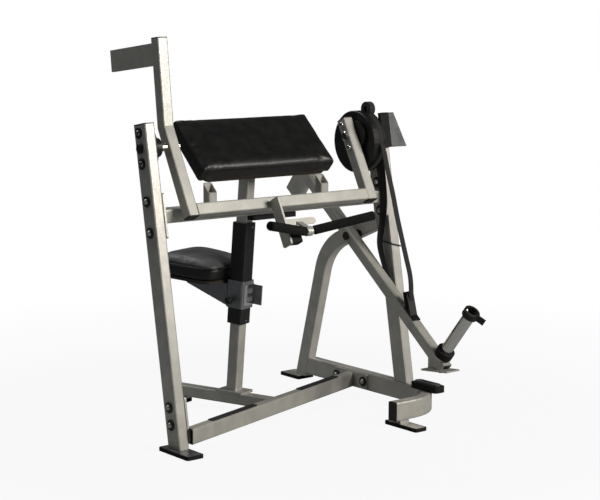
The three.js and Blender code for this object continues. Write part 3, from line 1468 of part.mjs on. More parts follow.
// Arm pad, its board and the two posts that carry it
const padOutline = (inset) => {
  const wide = padWide - 2 * inset;
  const long = padLong - 2 * inset;
  return roundedRectangle(wide, long, padCorner * long / padLong, cushionCornerSteps);
};
const padSolid = cushion(padOutline, padThick, padCrown, padLong / 2 - padBoardInset);
add("arm_pad", padSolid, vinyl, padGroup, [0, 0, -padThick]);
const boardWide = padWide - 2 * padBoardInset;
const boardLong = padLong - 2 * padBoardInset;
const padBoard = plate(roundedRectangle(boardWide, boardLong, padCorner - padBoardInset), padBoardThick);
add("pad_board", padBoard, plywood, padGroup, [0, 0, boardLowZ]);

// The origin is on the floor under the middle of the whole machine.
const bounds = new THREE.Box3().setFromObject(machine);
const middle = bounds.getCenter(new THREE.Vector3());
machine.position.set(-middle.x, -middle.y, -bounds.min.z);

export default machine;
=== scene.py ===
"""Looks of the plate-loaded biceps curl machine, in metres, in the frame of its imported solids."""

import bmesh
import bpy
from math import cos, pi, radians, sin, sqrt, tan
from mathutils import Matrix, Vector

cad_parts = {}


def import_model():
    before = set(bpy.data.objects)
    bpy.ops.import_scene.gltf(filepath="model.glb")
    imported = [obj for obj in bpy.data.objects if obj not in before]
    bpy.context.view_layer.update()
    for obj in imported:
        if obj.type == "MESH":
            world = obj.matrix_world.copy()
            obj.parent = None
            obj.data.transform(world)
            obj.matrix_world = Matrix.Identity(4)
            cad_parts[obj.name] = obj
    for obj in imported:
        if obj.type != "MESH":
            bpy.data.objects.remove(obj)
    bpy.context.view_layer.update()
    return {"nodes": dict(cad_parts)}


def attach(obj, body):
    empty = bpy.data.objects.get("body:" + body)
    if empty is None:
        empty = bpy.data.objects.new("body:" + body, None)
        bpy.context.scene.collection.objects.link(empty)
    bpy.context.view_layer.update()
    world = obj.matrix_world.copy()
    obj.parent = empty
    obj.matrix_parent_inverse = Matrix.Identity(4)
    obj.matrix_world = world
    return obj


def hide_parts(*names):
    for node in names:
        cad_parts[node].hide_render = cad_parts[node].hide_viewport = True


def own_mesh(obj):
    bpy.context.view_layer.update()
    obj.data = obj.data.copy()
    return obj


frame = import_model()
nodes = frame["nodes"]
MM = 0.001

# Place of the drawing's origin, the left post's outer face and front foot edge; the places below start there
DRAWING = Vector((-0.6195, -0.18678, 0.0))

# Camera of the photograph
CAMERA_PLACE = Vector((-3.244, -4.780, 1.606))
CAMERA_AZIMUTH = -38.54
CAMERA_PITCH = 8.37
CAMERA_LENS = 97.2
SENSOR_WIDE = 36.0

# Frame
POST_LEAN = 9.8
TUBE_WIDE = 0.045
TUBE_DEEP = 0.076
FOOT_TOP = 0.0143
FRAME_WIDE = 1.176
FLANGE_THICK = 0.0083
RIGHT_FACE_X = FRAME_WIDE - TUBE_WIDE
RIGHT_FLANGE_X = RIGHT_FACE_X - FLANGE_THICK
CROSS_MIDDLE_Z = 0.858
CROSS_BOLT_RISE = 0.058
FOOT_BOLT_HEIGHTS = (0.101, 0.165)
PIVOT_Y = 0.233
PIVOT_Z = 1.108
BEARING_BOLT_REACH = 0.057
RAIL_BOLT_REACH = 0.086
RAIL_MIDDLE_Z = 0.064
FOOT_BAR_TURN = 18.2
FOOT_BAR_FRONT_Y = -0.015
FOOT_BAR_DEEP = 0.042

# Curl arm and handle
ARM_SLOPE = 27.0
ARM_RIGHT_X = 0.984
ARM_BOLT_SPACING = 0.050
HANDLE_PLACE = Vector((0.577, -0.034, 0.782))
HANDLE_HALF = 0.248
HANDLE_FORWARD = 0.088
HANDLE_RISE = 0.049
HANDLE_FLAT = 0.016
GRIP_START = 0.006
GRIP_RADIUS = 0.0178

# Weight arm
LEVER_X = 1.0875

# Seat
SEAT_TURN = 18.2
SEAT_LEAN = 4.5
SEAT_POST = Vector((0.560, 0.425, 0.0853))
SEAT_LOW = 0.4523
SEAT_FRONT = 0.0435
SEAT_LONG = 0.300
SEAT_NOSE_WIDE = 0.280
SEAT_REAR_WIDE = 0.318
GUIDE_OUTER = 0.070
GUIDE_SCREW_SUNK = 0.0042

# Arm pad
PAD_PLACE = Vector((0.566, 0.2735, 1.1090))
PAD_SLOPE = 42.8
PAD_WIDE = 0.660
PAD_LONG = 0.284
PAD_THICK = 0.066


# Colours and materials

# The wave texture runs through this many radians for each unit of scaled length
WAVE_RADIANS = 20


def linear(hex_colour):
    """Linear red, green, blue and alpha of an sRGB hex colour."""
    parts = [int(hex_colour[i:i + 2], 16) / 255 for i in (1, 3, 5)]
    return [c / 12.92 if c <= 0.04045 else ((c + 0.055) / 1.055) ** 2.4 for c in parts] + [1.0]


def add_node(tree, kind, settings=None, inputs=None):
    """Adds a node, sets its properties, and sets or links its inputs."""
    made = tree.nodes.new(kind)
    for name, value in (settings or {}).items():
        setattr(made, name, value)
    for key, value in (inputs or {}).items():
        if isinstance(value, bpy.types.NodeSocket):
            tree.links.new(value, made.inputs[key])
        else:
            made.inputs[key].default_value = value
    return made


def new_material(name):
    """A material with its node tree, its shader and its object coordinates."""
    made = bpy.data.materials.new(name)
    made.use_nodes = True
    tree = made.node_tree
    shader = tree.nodes["Principled BSDF"]
    coordinates = add_node(tree, "ShaderNodeTexCoord").outputs["Object"]
    return made, tree, shader, coordinates


def noise(tree, where, grain_mm, detail=3.0, roughness=0.5):
    """Noise whose spots are about as wide as the given number of millimetres."""
    inputs = {"Vector": where, "Scale": 1 / (grain_mm * MM), "Detail": detail, "Roughness": roughness}
    return add_node(tree, "ShaderNodeTexNoise", None, inputs).outputs["Fac"]


def waves(tree, where, direction, apart_mm, distortion=0.0):
    """Soft stripes across a direction, the given number of millimetres apart."""
    scale = 2 * pi / (WAVE_RADIANS * apart_mm * MM)
    inputs = {"Vector": where, "Scale": scale, "Distortion": distortion}
    return add_node(tree, "ShaderNodeTexWave", {"bands_direction": direction}, inputs).outputs["Fac"]


def between(tree, factor, low, high, from_low=0.35, from_high=0.65):
    """Maps the middle of a pattern to the numbers low and high."""
    inputs = {"Value": factor, "From Min": from_low, "From Max": from_high, "To Min": low, "To Max": high}
    return add_node(tree, "ShaderNodeMapRange", None, inputs).outputs["Result"]


def tint(tree, shader, factor, first, second):
    """Colours a surface between two sRGB hex colours."""
    made = add_node(tree, "ShaderNodeMix", {"data_type": "RGBA"})
    tree.links.new(factor, made.inputs["Factor"])
    made.inputs["A"].default_value = linear(first)
    made.inputs["B"].default_value = linear(second)
    tree.links.new(made.outputs["Result"], shader.inputs["Base Color"])


def cloud_tint(tree, shader, pattern, first, second):
    """Colours a surface between two sRGB hex colours, by the middle of a noise."""
    tint(tree, shader, between(tree, pattern, 0.0, 1.0), first, second)


def polish(tree, shader, pattern, smooth, rough):
    """Lets the roughness run between two values, by the middle of a noise."""
    tree.links.new(between(tree, pattern, smooth, rough), shader.inputs["Roughness"])


def bump(tree, shader, height, depth_mm, strength=1.0):
    """Raises the surface by a pattern of the given depth."""
    inputs = {"Height": height, "Distance": depth_mm * MM, "Strength": strength}
    made = add_node(tree, "ShaderNodeBump", None, inputs)
    tree.links.new(made.outputs["Normal"], shader.inputs["Normal"])


def silver_powder_coat():
    """Metallic silver powder coat, baked on: fine orange peel, a little cloudy, dull scuffs from use."""
    made, tree, shader, where = new_material("silver_powder_coat")
    cloud = noise(tree, where, grain_mm=60.0, detail=4.0)
    scuff = noise(tree, where, grain_mm=9.0, detail=6.0, roughness=0.65)
    peel = noise(tree, where, grain_mm=1.6, detail=2.0)
    cloud_tint(tree, shader, cloud, "#b2b1ab", "#c0beb6")
    polish(tree, shader, scuff, 0.36, 0.50)
    shader.inputs["Metallic"].default_value = 0.35
    shader.inputs["Coat Weight"].default_value = 0.15
    shader.inputs["Coat Roughness"].default_value = 0.25
    bump(tree, shader, peel, depth_mm=0.06, strength=0.5)
    return made


def black_powder_coat():
    """Black powder coat, baked on: an even satin with a fine texture."""
    made, tree, shader, where = new_material("black_powder_coat")
    cloud = noise(tree, where, grain_mm=40.0, detail=4.0)
    peel = noise(tree, where, grain_mm=1.4, detail=3.0)
    cloud_tint(tree, shader, cloud, "#0b0b0c", "#151516")
    polish(tree, shader, cloud, 0.42, 0.55)
    shader.inputs["Specular IOR Level"].default_value = 0.35
    bump(tree, shader, peel, depth_mm=0.08, strength=0.6)
    return made


def grey_painted_plate():
    """Grey enamel sprayed on cut sheet steel: slightly glossy, with dust in patches."""
    made, tree, shader, where = new_material("grey_painted_plate")
    cloud = noise(tree, where, grain_mm=35.0, detail=5.0)
    peel = noise(tree, where, grain_mm=1.8, detail=2.0)
    cloud_tint(tree, shader, cloud, "#4a4c4f", "#5d5f62")
    polish(tree, shader, cloud, 0.38, 0.5)
    shader.inputs["Metallic"].default_value = 0.2
    bump(tree, shader, peel, depth_mm=0.05, strength=0.5)
    return made


def zinc_plate():
    """Zinc-plated sheet steel of the seat carriage: mid grey with a soft, streaky gleam."""
    made, tree, shader, where = new_material("zinc_plate")
    stretched = add_node(tree, "ShaderNodeMapping", None, {"Vector": where, "Scale": (1.0, 1.0, 0.2)})
    streak = noise(tree, stretched.outputs["Vector"], grain_mm=7.0, detail=5.0)
    cloud_tint(tree, shader, streak, "#75777b", "#87898d")
    polish(tree, shader, streak, 0.36, 0.52)
    shader.inputs["Metallic"].default_value = 0.5
    bump(tree, shader, streak, depth_mm=0.04, strength=0.4)
    return made


def chrome_plate(name, smooth, rough):
    """Chrome plating: bright and nearly smooth, with faint wiping marks."""
    made, tree, shader, where = new_material(name)
    wiping = noise(tree, where, grain_mm=12.0, detail=6.0, roughness=0.7)
    polish(tree, shader, wiping, smooth, rough)
    cloud_tint(tree, shader, wiping, "#dcdad6", "#e8e6e2")
    shader.inputs["Metallic"].default_value = 1.0
    return made


def black_moulded_plastic():
    """Injection-moulded black nylon: the mould's fine grain and a low sheen."""
    made, tree, shader, where = new_material("black_moulded_plastic")
    grain = noise(tree, where, grain_mm=0.9, detail=2.0)
    cloud = noise(tree, where, grain_mm=30.0)
    cloud_tint(tree, shader, cloud, "#0c0c0d", "#141415")
    polish(tree, shader, cloud, 0.42, 0.52)
    bump(tree, shader, grain, depth_mm=0.06, strength=0.7)
    return made


def black_moulded_rubber():
    """Moulded black rubber: matt, faintly grey where it is dusty."""
    made, tree, shader, where = new_material("black_moulded_rubber")
    dust = noise(tree, where, grain_mm=22.0, detail=6.0, roughness=0.6)
    grain = noise(tree, where, grain_mm=1.2, detail=3.0)
    cloud_tint(tree, shader, dust, "#0f0f0f", "#1c1b1a")
    polish(tree, shader, dust, 0.7, 0.85)
    shader.inputs["Specular IOR Level"].default_value = 0.3
    bump(tree, shader, grain, depth_mm=0.1, strength=0.7)
    return made


def ribbed_rubber():
    """Extruded foot strip rubber: matt ribs nearly 12 mm apart, across the skewed foot bar."""
    made, tree, shader, where = new_material("ribbed_rubber")
    skew = (0.0, 0.0, -radians(FOOT_BAR_TURN))
    turned = add_node(tree, "ShaderNodeMapping", None, {"Vector": where, "Rotation": skew})
    ribs = waves(tree, turned.outputs["Vector"], "X", apart_mm=11.844)
    dust = noise(tree, where, grain_mm=25.0, detail=5.0)
    cloud_tint(tree, shader, dust, "#0d0d0d", "#1a1918")
    shader.inputs["Roughness"].default_value = 0.8
    bump(tree, shader, ribs, depth_mm=1.0, strength=0.8)
    return made


def closed_cell_foam():
    """Closed-cell grip foam: deep black with tiny open pits."""
    made, tree, shader, where = new_material("closed_cell_foam")
    pit_mm = 1.6
    pits = add_node(tree, "ShaderNodeTexVoronoi", None, {"Vector": where, "Scale": 1 / (pit_mm * MM)})
    cloud = noise(tree, where, grain_mm=18.0, detail=4.0)
    cloud_tint(tree, shader, cloud, "#0b0b0b", "#161616")
    shader.inputs["Roughness"].default_value = 0.88
    shader.inputs["Specular IOR Level"].default_value = 0.25
    bump(tree, shader, pits.outputs["Distance"], depth_mm=0.25, strength=0.8)
    return made


def upholstery_vinyl(name, low, high, gloss):
    """Embossed upholstery vinyl: leather-like cells about 1.5 mm wide under a soft sheen."""
    made, tree, shader, where = new_material(name)
    cell_mm = 1.5
    inputs = {"Vector": where, "Scale": 1 / (cell_mm * MM), "Randomness": 1.0}
    cells = add_node(tree, "ShaderNodeTexVoronoi", {"feature": "DISTANCE_TO_EDGE"}, inputs)
    wear = noise(tree, where, grain_mm=45.0, detail=5.0, roughness=0.55)
    cloud_tint(tree, shader, wear, low, high)
    polish(tree, shader, wear, gloss, gloss + 0.1)
    shader.inputs["Sheen Weight"].default_value = 0.04
    bump(tree, shader, cells.outputs["Distance"], depth_mm=0.12, strength=0.5)
    return made


def woven_webbing():
    """Woven nylon webbing, a little grey from use, its threads drawn coarsely, 4 to 5 mm apart."""
    made, tree, shader, where = new_material("woven_webbing")
    crosswise = waves(tree, where, "X", apart_mm=3.948)
    lengthwise = waves(tree, where, "Z", apart_mm=4.737)
    product = add_node(tree, "ShaderNodeMath", {"operation": "MULTIPLY"}, {0: crosswise, 1: lengthwise})
    weave = product.outputs["Value"]
    tint(tree, shader, weave, "#0a0b0b", "#1b1d1d")
    shader.inputs["Roughness"].default_value = 0.75
    shader.inputs["Sheen Weight"].default_value = 0.1
    bump(tree, shader, weave, depth_mm=0.4, strength=0.6)
    return made


def stained_plywood():
    """Birch plywood, sanded and stained dark: veneers about 3 mm thick, light and dark in turn."""
    made, tree, shader, where = new_material("stained_plywood")
    veneers = waves(tree, where, "Z", apart_mm=5.922, distortion=1.5)
    tint(tree, shader, veneers, "#2a241d", "#3a3127")
    shader.inputs["Roughness"].default_value = 0.7
    bump(tree, shader, veneers, depth_mm=0.1, strength=0.5)
    return made


SILVER = silver_powder_coat()
BLACK_COAT = black_powder_coat()
GREY_PLATE = grey_painted_plate()
ZINC = zinc_plate()
CHROME = chrome_plate("chrome_plate", smooth=0.10, rough=0.19)
BOLT_CHROME = chrome_plate("bolt_chrome", smooth=0.18, rough=0.27)
PLASTIC = black_moulded_plastic()
RUBBER = black_moulded_rubber()
RIBBED = ribbed_rubber()
FOAM = closed_cell_foam()
PAD_VINYL = upholstery_vinyl("arm_pad_vinyl", "#070707", "#0e0e0d", gloss=0.36)
# The seat's top panel is the same black vinyl as its border; its lighter grey is painted light, the top lit
# from above.
SEAT_TOP_PAINTED_LIGHT = upholstery_vinyl("seat_top_painted_light", "#48494b", "#545558", gloss=0.45)
WEBBING = woven_webbing()
PLYWOOD = stained_plywood()

FINISHES = {
    SILVER: [
        "left_post", "right_upright", "foot_bar", "rear_brace", "base_rail", "upper_cross_tube", "seat_rail",
        "seat_post", "arm_left_tube", "arm_cross_tube", "arm_right_tube", "counterweight_bar", "lever_tube",
        "lever_counterweight", "handle_bracket",
    ],
    BLACK_COAT: ["left_bearing", "right_bearing", "cam", "belt_clamp"],
    GREY_PLATE: ["left_foot_plate", "bumper_plate", "guard_plate"],
    ZINC: ["seat_carriage"],
    CHROME: ["left_shaft", "right_shaft", "weight_horn", "handle_bar", "latch_plate"],
    PLASTIC: [
        "left_post_cap", "right_upright_cap", "front_stub_cap", "pivot_cap", "guide_sleeve", "arm_left_cap",
        "arm_right_cap", "arm_right_top_cap", "arm_top_cap", "horn_clip", "pull_pin", "lever_shaft",
    ],
    RUBBER: [
        "left_shoe", "rear_shoe", "front_shoe", "seat_shoe", "bumper_block", "guard_buffer", "horn_collar",
        "stop_block", "arm_stop_pad",
    ],
    RIBBED: ["left_grip_strip", "right_grip_strip"],
    WEBBING: ["cam_belt"],
    PLYWOOD: ["pad_board", "seat_board"],
}
for finish, names in FINISHES.items():
    for name in names:
        nodes[name].data.materials.clear()
        nodes[name].data.materials.append(finish)


# Helpers for shapes

def deselect_all():
    """Goes back to object mode with nothing selected."""
    if bpy.context.object and bpy.context.object.mode != "OBJECT":
        bpy.ops.object.mode_set(mode="OBJECT")
    bpy.ops.object.select_all(action="DESELECT")


def only(piece):
    """Makes a piece the active and only selected object."""
    deselect_all()
    piece.select_set(True)
    bpy.context.view_layer.objects.active = piece


def set_origin(piece):
    """Brings a piece's place into its mesh, so that its origin is the world's."""
    only(piece)
    bpy.ops.object.transform_apply(location=True, rotation=True, scale=True)


def settle(piece, name, finish, body, angle=40.0):
    """Names a piece that is in place, and gives it its finish and the body it moves with."""
    set_origin(piece)
    piece.name = name
    piece.data.name = name
    if finish is not None:
        piece.data.materials.clear()
        piece.data.materials.append(finish)
    bpy.ops.object.shade_smooth_by_angle(angle=radians(angle))
    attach(piece, body)


def apply_modifier(piece, kind, **settings):
    """Adds a modifier with its settings and applies it."""
    only(piece)
    modifier = piece.modifiers.new(kind.lower(), kind)
    for name, value in settings.items():
        setattr(modifier, name, value)
    bpy.ops.object.modifier_apply(modifier=modifier.name)


def select_faces(piece, test):
    """Selects in edit mode the faces whose middle and normal pass a test."""
    only(piece)
    bpy.ops.object.mode_set(mode="EDIT")
    bpy.ops.mesh.select_mode(type="FACE")
    bpy.ops.mesh.select_all(action="DESELECT")
    shape = bmesh.from_edit_mesh(piece.data)
    for face in shape.faces:
        face.select = test(face.calc_center_median(), face.normal)
    bmesh.update_edit_mesh(piece.data)


def object_mode():
    """Leaves edit mode."""
    bpy.ops.object.mode_set(mode="OBJECT")


def from_rings(name, rings):
    """A closed skin through rings of equally many points, with a fan over each end."""
    count = len(rings[0])
    points = [tuple(p) for ring in rings for p in ring]
    faces = []
    for i in range(len(rings) - 1):
        for j in range(count):
            k = (j + 1) % count
            faces.append((i * count + j, i * count + k, (i + 1) * count + k, (i + 1) * count + j))
    low = len(points)
    points.append(tuple(sum((Vector(p) for p in rings[0]), Vector()) / count))
    points.append(tuple(sum((Vector(p) for p in rings[-1]), Vector()) / count))
    last = (len(rings) - 1) * count
    for j in range(count):
        k = (j + 1) % count
        faces.append((low, k, j))
        faces.append((low + 1, last + j, last + k))
    mesh = bpy.data.meshes.new(name)
    mesh.from_pydata(points, [], faces)
    made = bpy.data.objects.new(name, mesh)
    bpy.context.scene.collection.objects.link(made)
    only(made)
    bpy.ops.object.mode_set(mode="EDIT")
    bpy.ops.mesh.select_all(action="SELECT")
    bpy.ops.mesh.normals_make_consistent(inside=False)
    object_mode()
    return made


def smooth_line(points, steps):
    """Points of a smooth curve through the given points."""
    line = []
    for i in range(len(points) - 1):
        before = points[max(i - 1, 0)]
        start, stop = points[i], points[i + 1]
        after = points[min(i + 2, len(points) - 1)]
        for step in range(steps):
            t = step / steps
            pull = (stop - before) * (t - 2 * t * t + t ** 3) / 2 + (after - start) * (t ** 3 - t * t) / 2
            line.append(start * (1 - 3 * t * t + 2 * t ** 3) + stop * (3 * t * t - 2 * t ** 3) + pull)
    line.append(points[-1])
    return line


def along(line, lift):
    """Each point of a line with two directions square to it, the first as near as can be to the lift."""
    frames = []
    for i, place in enumerate(line):
        run = (line[min(i + 1, len(line) - 1)] - line[max(i - 1, 0)]).normalized()
        side = (lift - run * lift.dot(run)).normalized()
        frames.append((place, side, run.cross(side)))
    return frames


def ribbon(name, line, wides, thick, across):
    """A flat band along a line, with its width along one direction and its edges rounded."""
    rings = []
    for i, (place, side, out) in enumerate(along(line, across)):
        wide = wides[0] + (wides[1] - wides[0]) * i / (len(line) - 1)
        soft = thick / 2
        upper = [(wide / 2 - soft, soft), (wide / 2, 0.0), (wide / 2 - soft, -soft)]
        lower = [(-a, -b) for a, b in upper]
        rings.append([place + side * a + out * b for a, b in upper + lower])
    return from_rings(name, rings)


def tube_along(name, line, radius, sides):
    """A round cord along a line."""
    turns = [2 * pi * j / sides for j in range(sides)]
    rings = []
    for place, side, out in along(line, WELT_LIFT):
        rings.append([place + (side * cos(turn) + out * sin(turn)) * radius for turn in turns])
    return from_rings(name, rings)


# Places

def post_middle_y(z):
    """Middle of the leaning posts at a height, in the drawing's own Y."""
    return TUBE_DEEP / cos(radians(POST_LEAN)) / 2 + (z - FOOT_TOP) * tan(radians(POST_LEAN))


def arm_frame(x=0.0, y=0.0, z=0.0):
    """Place of a point of the curl arm's own frame."""
    turned = Matrix.Rotation(radians(-ARM_SLOPE), 4, "X") @ Vector((x, y, z))
    return DRAWING + Vector((0.0, PIVOT_Y, PIVOT_Z)) + turned


SEAT_MATRIX = (
    Matrix.Translation(DRAWING + SEAT_POST)
    @ Matrix.Rotation(radians(SEAT_TURN), 4, "Z")
    @ Matrix.Rotation(radians(SEAT_LEAN), 4, "X")
)
PAD_MATRIX = Matrix.Translation(DRAWING + PAD_PLACE) @ Matrix.Rotation(radians(PAD_SLOPE), 4, "X")


def cylinder(vertices, radius, tall, middle_z):
    """A plain cylinder along Z, with its middle at a height."""
    deselect_all()
    middle = (0.0, 0.0, middle_z)
    bpy.ops.mesh.primitive_cylinder_add(vertices=vertices, radius=radius, depth=tall, location=middle)
    return bpy.context.object


# Bolts: a chrome button head with a socket, on a wide black washer

BOLT_HEAD_RADIUS = 0.0108
BOLT_HEAD_TALL = 0.0084
BOLT_SOCKET_RADIUS = 0.0048
WASHER_RADIUS = 0.0216
WASHER_TALL = 0.0044
HEAD_ROUND_SHARE = 0.7
WASHER_ROUND_SHARE = 0.6
FACING = 0.9


def button_head(radius, tall, socket):
    """A domed head with a six-sided socket, standing on the floor at the origin."""
    head = cylinder(36, radius, tall, tall / 2)
    select_faces(head, lambda place, normal: normal.z > FACING)
    bpy.ops.mesh.bevel(offset=tall * HEAD_ROUND_SHARE, segments=5, profile=0.5)
    object_mode()
    cutter = cylinder(6, socket, tall, tall)
    apply_modifier(head, "BOOLEAN", operation="DIFFERENCE", object=cutter, solver="EXACT")
    bpy.data.objects.remove(cutter)
    head.data.materials.append(BOLT_CHROME)
    set_origin(head)
    return head


def washered_bolt():
    """The pattern for every large bolt, along Z."""
    head = button_head(BOLT_HEAD_RADIUS, BOLT_HEAD_TALL + WASHER_TALL, BOLT_SOCKET_RADIUS)
    washer = cylinder(48, WASHER_RADIUS, WASHER_TALL, WASHER_TALL / 2)
    select_faces(washer, lambda place, normal: normal.z > FACING)
    bpy.ops.mesh.bevel(offset=WASHER_TALL * WASHER_ROUND_SHARE, segments=3, profile=0.6)
    bpy.ops.mesh.select_all(action="DESELECT")
    object_mode()
    washer.data.materials.append(PLASTIC)
    only(head)
    washer.select_set(True)
    bpy.ops.object.join()
    set_origin(head)
    return head


BOLT_PATTERN = washered_bolt()


def place_bolt(name, place, body):
    """A copy of the bolt, with its head towards -X."""
    bolt = BOLT_PATTERN.copy()
    bolt.data = BOLT_PATTERN.data.copy()
    bpy.context.scene.collection.objects.link(bolt)
    bolt.matrix_world = Matrix.Translation(DRAWING + Vector(place)) @ Matrix.Rotation(radians(-90), 4, "Y")
    settle(bolt, name, None, body)


def frame_bolts():
    """The bolts of the cross tube, the foot bar, the left bearing and the rail's bracket."""
    lean = radians(POST_LEAN)
    heights = [CROSS_MIDDLE_Z + side * CROSS_BOLT_RISE * cos(lean) for side in (-1, 1)]
    for i, z in enumerate(heights):
        place_bolt(f"left_cross_bolt_{i + 1}", (0.0, post_middle_y(z), z), "root")
        place_bolt(f"right_cross_bolt_{i + 1}", (RIGHT_FLANGE_X, post_middle_y(z), z), "root")
    for i, z in enumerate(FOOT_BOLT_HEIGHTS):
        place_bolt(f"foot_bolt_{i + 1}", (0.0, post_middle_y(z), z), "root")
    for i, side in enumerate((-1, 1)):
        reach = side * BEARING_BOLT_REACH
        place = (0.0, PIVOT_Y + reach * sin(lean), PIVOT_Z + reach * cos(lean))
        place_bolt(f"bearing_bolt_{i + 1}", place, "root")
    turn = radians(FOOT_BAR_TURN)
    skew_y = (RIGHT_FLANGE_X - TUBE_WIDE) * tan(turn)
    bracket_y = FOOT_BAR_FRONT_Y + skew_y + FOOT_BAR_DEEP / 2 / cos(turn)
    for i, side in enumerate((-1, 1)):
        place = (RIGHT_FLANGE_X, bracket_y + side * RAIL_BOLT_REACH, RAIL_MIDDLE_Z)
        place_bolt(f"rail_bolt_{i + 1}", place, "root")


frame_bolts()
bpy.data.objects.remove(BOLT_PATTERN)


SCREW_TALL_SHARE = 0.7
SCREW_SOCKET_SHARE = 0.45
CAM_SCREW_RADIUS = 0.0102
CAM_SCREW_SUNK = -0.0006
GUIDE_SCREW_RADIUS = 0.0065
GUIDE_SCREWS = {"guide_screw_low": (0.004, 0.292), "guide_screw_high": (0.012, 0.676)}


def small_screw(name, place, turn, radius, body):
    """A small bright screw whose head points along the turned Z."""
    head = button_head(radius, radius * SCREW_TALL_SHARE, radius * SCREW_SOCKET_SHARE)
    head.matrix_world = Matrix.Translation(place) @ turn
    settle(head, name, None, body)


def arm_and_guide_screws():
    """The screws that hold the cam's side of the curl arm, and those of the guide sleeve."""
    left = Matrix.Rotation(radians(-90), 4, "Y")
    outer = ARM_RIGHT_X + CAM_SCREW_SUNK
    for i, height in enumerate((ARM_BOLT_SPACING, -ARM_BOLT_SPACING)):
        place = arm_frame(outer, 0.0, height)
        small_screw(f"cam_screw_{i + 1}", place, left, CAM_SCREW_RADIUS, "curl_arm")
    forward = SEAT_MATRIX.to_3x3().to_4x4() @ Matrix.Rotation(radians(90), 4, "X")
    face = GUIDE_SCREW_SUNK - GUIDE_OUTER / 2
    for name, (x, z) in GUIDE_SCREWS.items():
        small_screw(name, SEAT_MATRIX @ Vector((x, face, z)), forward, GUIDE_SCREW_RADIUS, "root")


arm_and_guide_screws()


# Cushions

CLOTH_FRAMES = 20
CLOTH_PRESSURE = 4.0
CUSHION_VOXEL = 0.006
SWELL_CAP = 0.006
LEAST_MOVE = 1e-9
SMOOTHING_SHARE = 0.5
SMOOTHING_ROUNDS = 4
CUSHION_ANGLE = 60.0


def puff(piece):
    """Blows a closed cover up a little with cloth pressure, each point by no more than the cap."""
    only(piece)
    piece.data.remesh_voxel_size = CUSHION_VOXEL
    bpy.ops.object.voxel_remesh()
    rest = [v.co.copy() for v in piece.data.vertices]
    modifier = piece.modifiers.new("stuffing", "CLOTH")
    modifier.settings.use_pressure = True
    modifier.settings.uniform_pressure_force = CLOTH_PRESSURE
    modifier.settings.effector_weights.gravity = 0.0
    scene = bpy.context.scene
    for number in range(1, CLOTH_FRAMES + 1):
        scene.frame_set(number)
    graph = bpy.context.evaluated_depsgraph_get()
    swollen = [v.co.copy() for v in piece.evaluated_get(graph).data.vertices]
    piece.modifiers.remove(modifier)
    scene.frame_set(1)
    for vertex, before, after in zip(piece.data.vertices, rest, swollen):
        move = after - before
        vertex.co = before + move * min(1.0, SWELL_CAP / max(move.length, LEAST_MOVE))
    apply_modifier(piece, "SMOOTH", factor=SMOOTHING_SHARE, iterations=SMOOTHING_ROUNDS)
    apply_modifier(piece, "SUBSURF", levels=1, render_levels=1)


def rounded_rectangle(wide, long, corner, steps):
    """Points of a rectangle with round corners, around its middle."""
    points = []
    for quarter in range(4):
        x = (wide / 2 - corner) * (1 if quarter in (0, 3) else -1)
        y = (long / 2 - corner) * (1 if quarter < 2 else -1)
        for step in range(steps + 1):
            angle = pi / 2 * (quarter + step / steps)
            points.append(Vector((x + corner * cos(angle), y + corner * sin(angle), 0.0)))
    return points


PAD_EDGE = 0.017
PAD_CROWN = 0.004
PAD_CORNER = 0.014
PAD_CORNER_LEAST = 0.004
PAD_INSET = 0.004
PAD_UNDER_INSET = 0.010
PAD_UNDER_ROUND = 0.004
PAD_MIDDLE_STRIP = 0.02
PAD_BARE_SHARE = 0.15
PAD_CROWN_SHARES = (0.3, 0.65)
PAD_SEAM_INSET = 0.024
SEAM_DEEP = 0.0022
SEAM_WIDE = 0.0050
PLEAT_DEEP = 0.0020
PLEAT_WIDE = 0.0040
PLEAT_REACH = 1.5 * PAD_EDGE


def bell(distance, reach):
    """One at no distance, falling smoothly to nothing at the reach."""
    near = max(0.0, 1 - abs(distance) / reach)
    return near * near * (3 - 2 * near)


def draw_in_seams(pad):
    """Draws in the seams that join the end panels, and gathers the cover at the lower corners."""
    seam_x = PAD_WIDE / 2 - PAD_SEAM_INSET
    moved = []
    for vertex in pad.data.vertices:
        place = vertex.co
        if place.z < PAD_THICK * PAD_BARE_SHARE:
            moved.append(place.copy())
            continue
        off_seam = abs(place.x) - seam_x
        seam = bell(off_seam, SEAM_WIDE)
        near_corner = bell(abs(place.y) - PAD_LONG / 2, PLEAT_REACH) * bell(off_seam, 4 * SEAM_WIDE)
        gather = near_corner * (0.5 + 0.5 * cos(pi * off_seam / PLEAT_WIDE))
        moved.append(place - vertex.normal * (SEAM_DEEP * seam + PLEAT_DEEP * gather * (1 - seam)))
    for vertex, place in zip(pad.data.vertices, moved):
        vertex.co = place


def arm_pad():
    """The arm pad: a flat slab of foam with soft edges, its cover sewn to an end panel at each side."""
    def ring(inset, z):
        corner = max(PAD_CORNER - inset, PAD_CORNER_LEAST)
        outline = rounded_rectangle(PAD_WIDE - 2 * inset, PAD_LONG - 2 * inset, corner, 6)
        return [p + Vector((0.0, 0.0, z)) for p in outline]

    shoulder = PAD_THICK - PAD_EDGE
    rings = [ring(PAD_UNDER_INSET, 0.0), ring(PAD_INSET, PAD_UNDER_ROUND), ring(PAD_INSET, shoulder)]
    for step in range(1, 6):
        angle = pi / 2 * step / 5
        rings.append(ring(PAD_INSET + PAD_EDGE * (1 - cos(angle)), shoulder + PAD_EDGE * sin(angle)))
    for share in PAD_CROWN_SHARES:
        inset = PAD_INSET + PAD_EDGE + (PAD_LONG / 2 - PAD_EDGE - PAD_MIDDLE_STRIP) * share
        rings.append(ring(inset, PAD_THICK + PAD_CROWN * sin(pi / 2 * share)))
    pad = from_rings("arm_pad_cushion", rings)
    puff(pad)
    draw_in_seams(pad)
    pad.matrix_world = PAD_MATRIX @ Matrix.Translation((0.0, 0.0, -PAD_THICK))
    settle(pad, "arm_pad_cushion", PAD_VINYL, "root", CUSHION_ANGLE)
    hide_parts("arm_pad")


arm_pad()


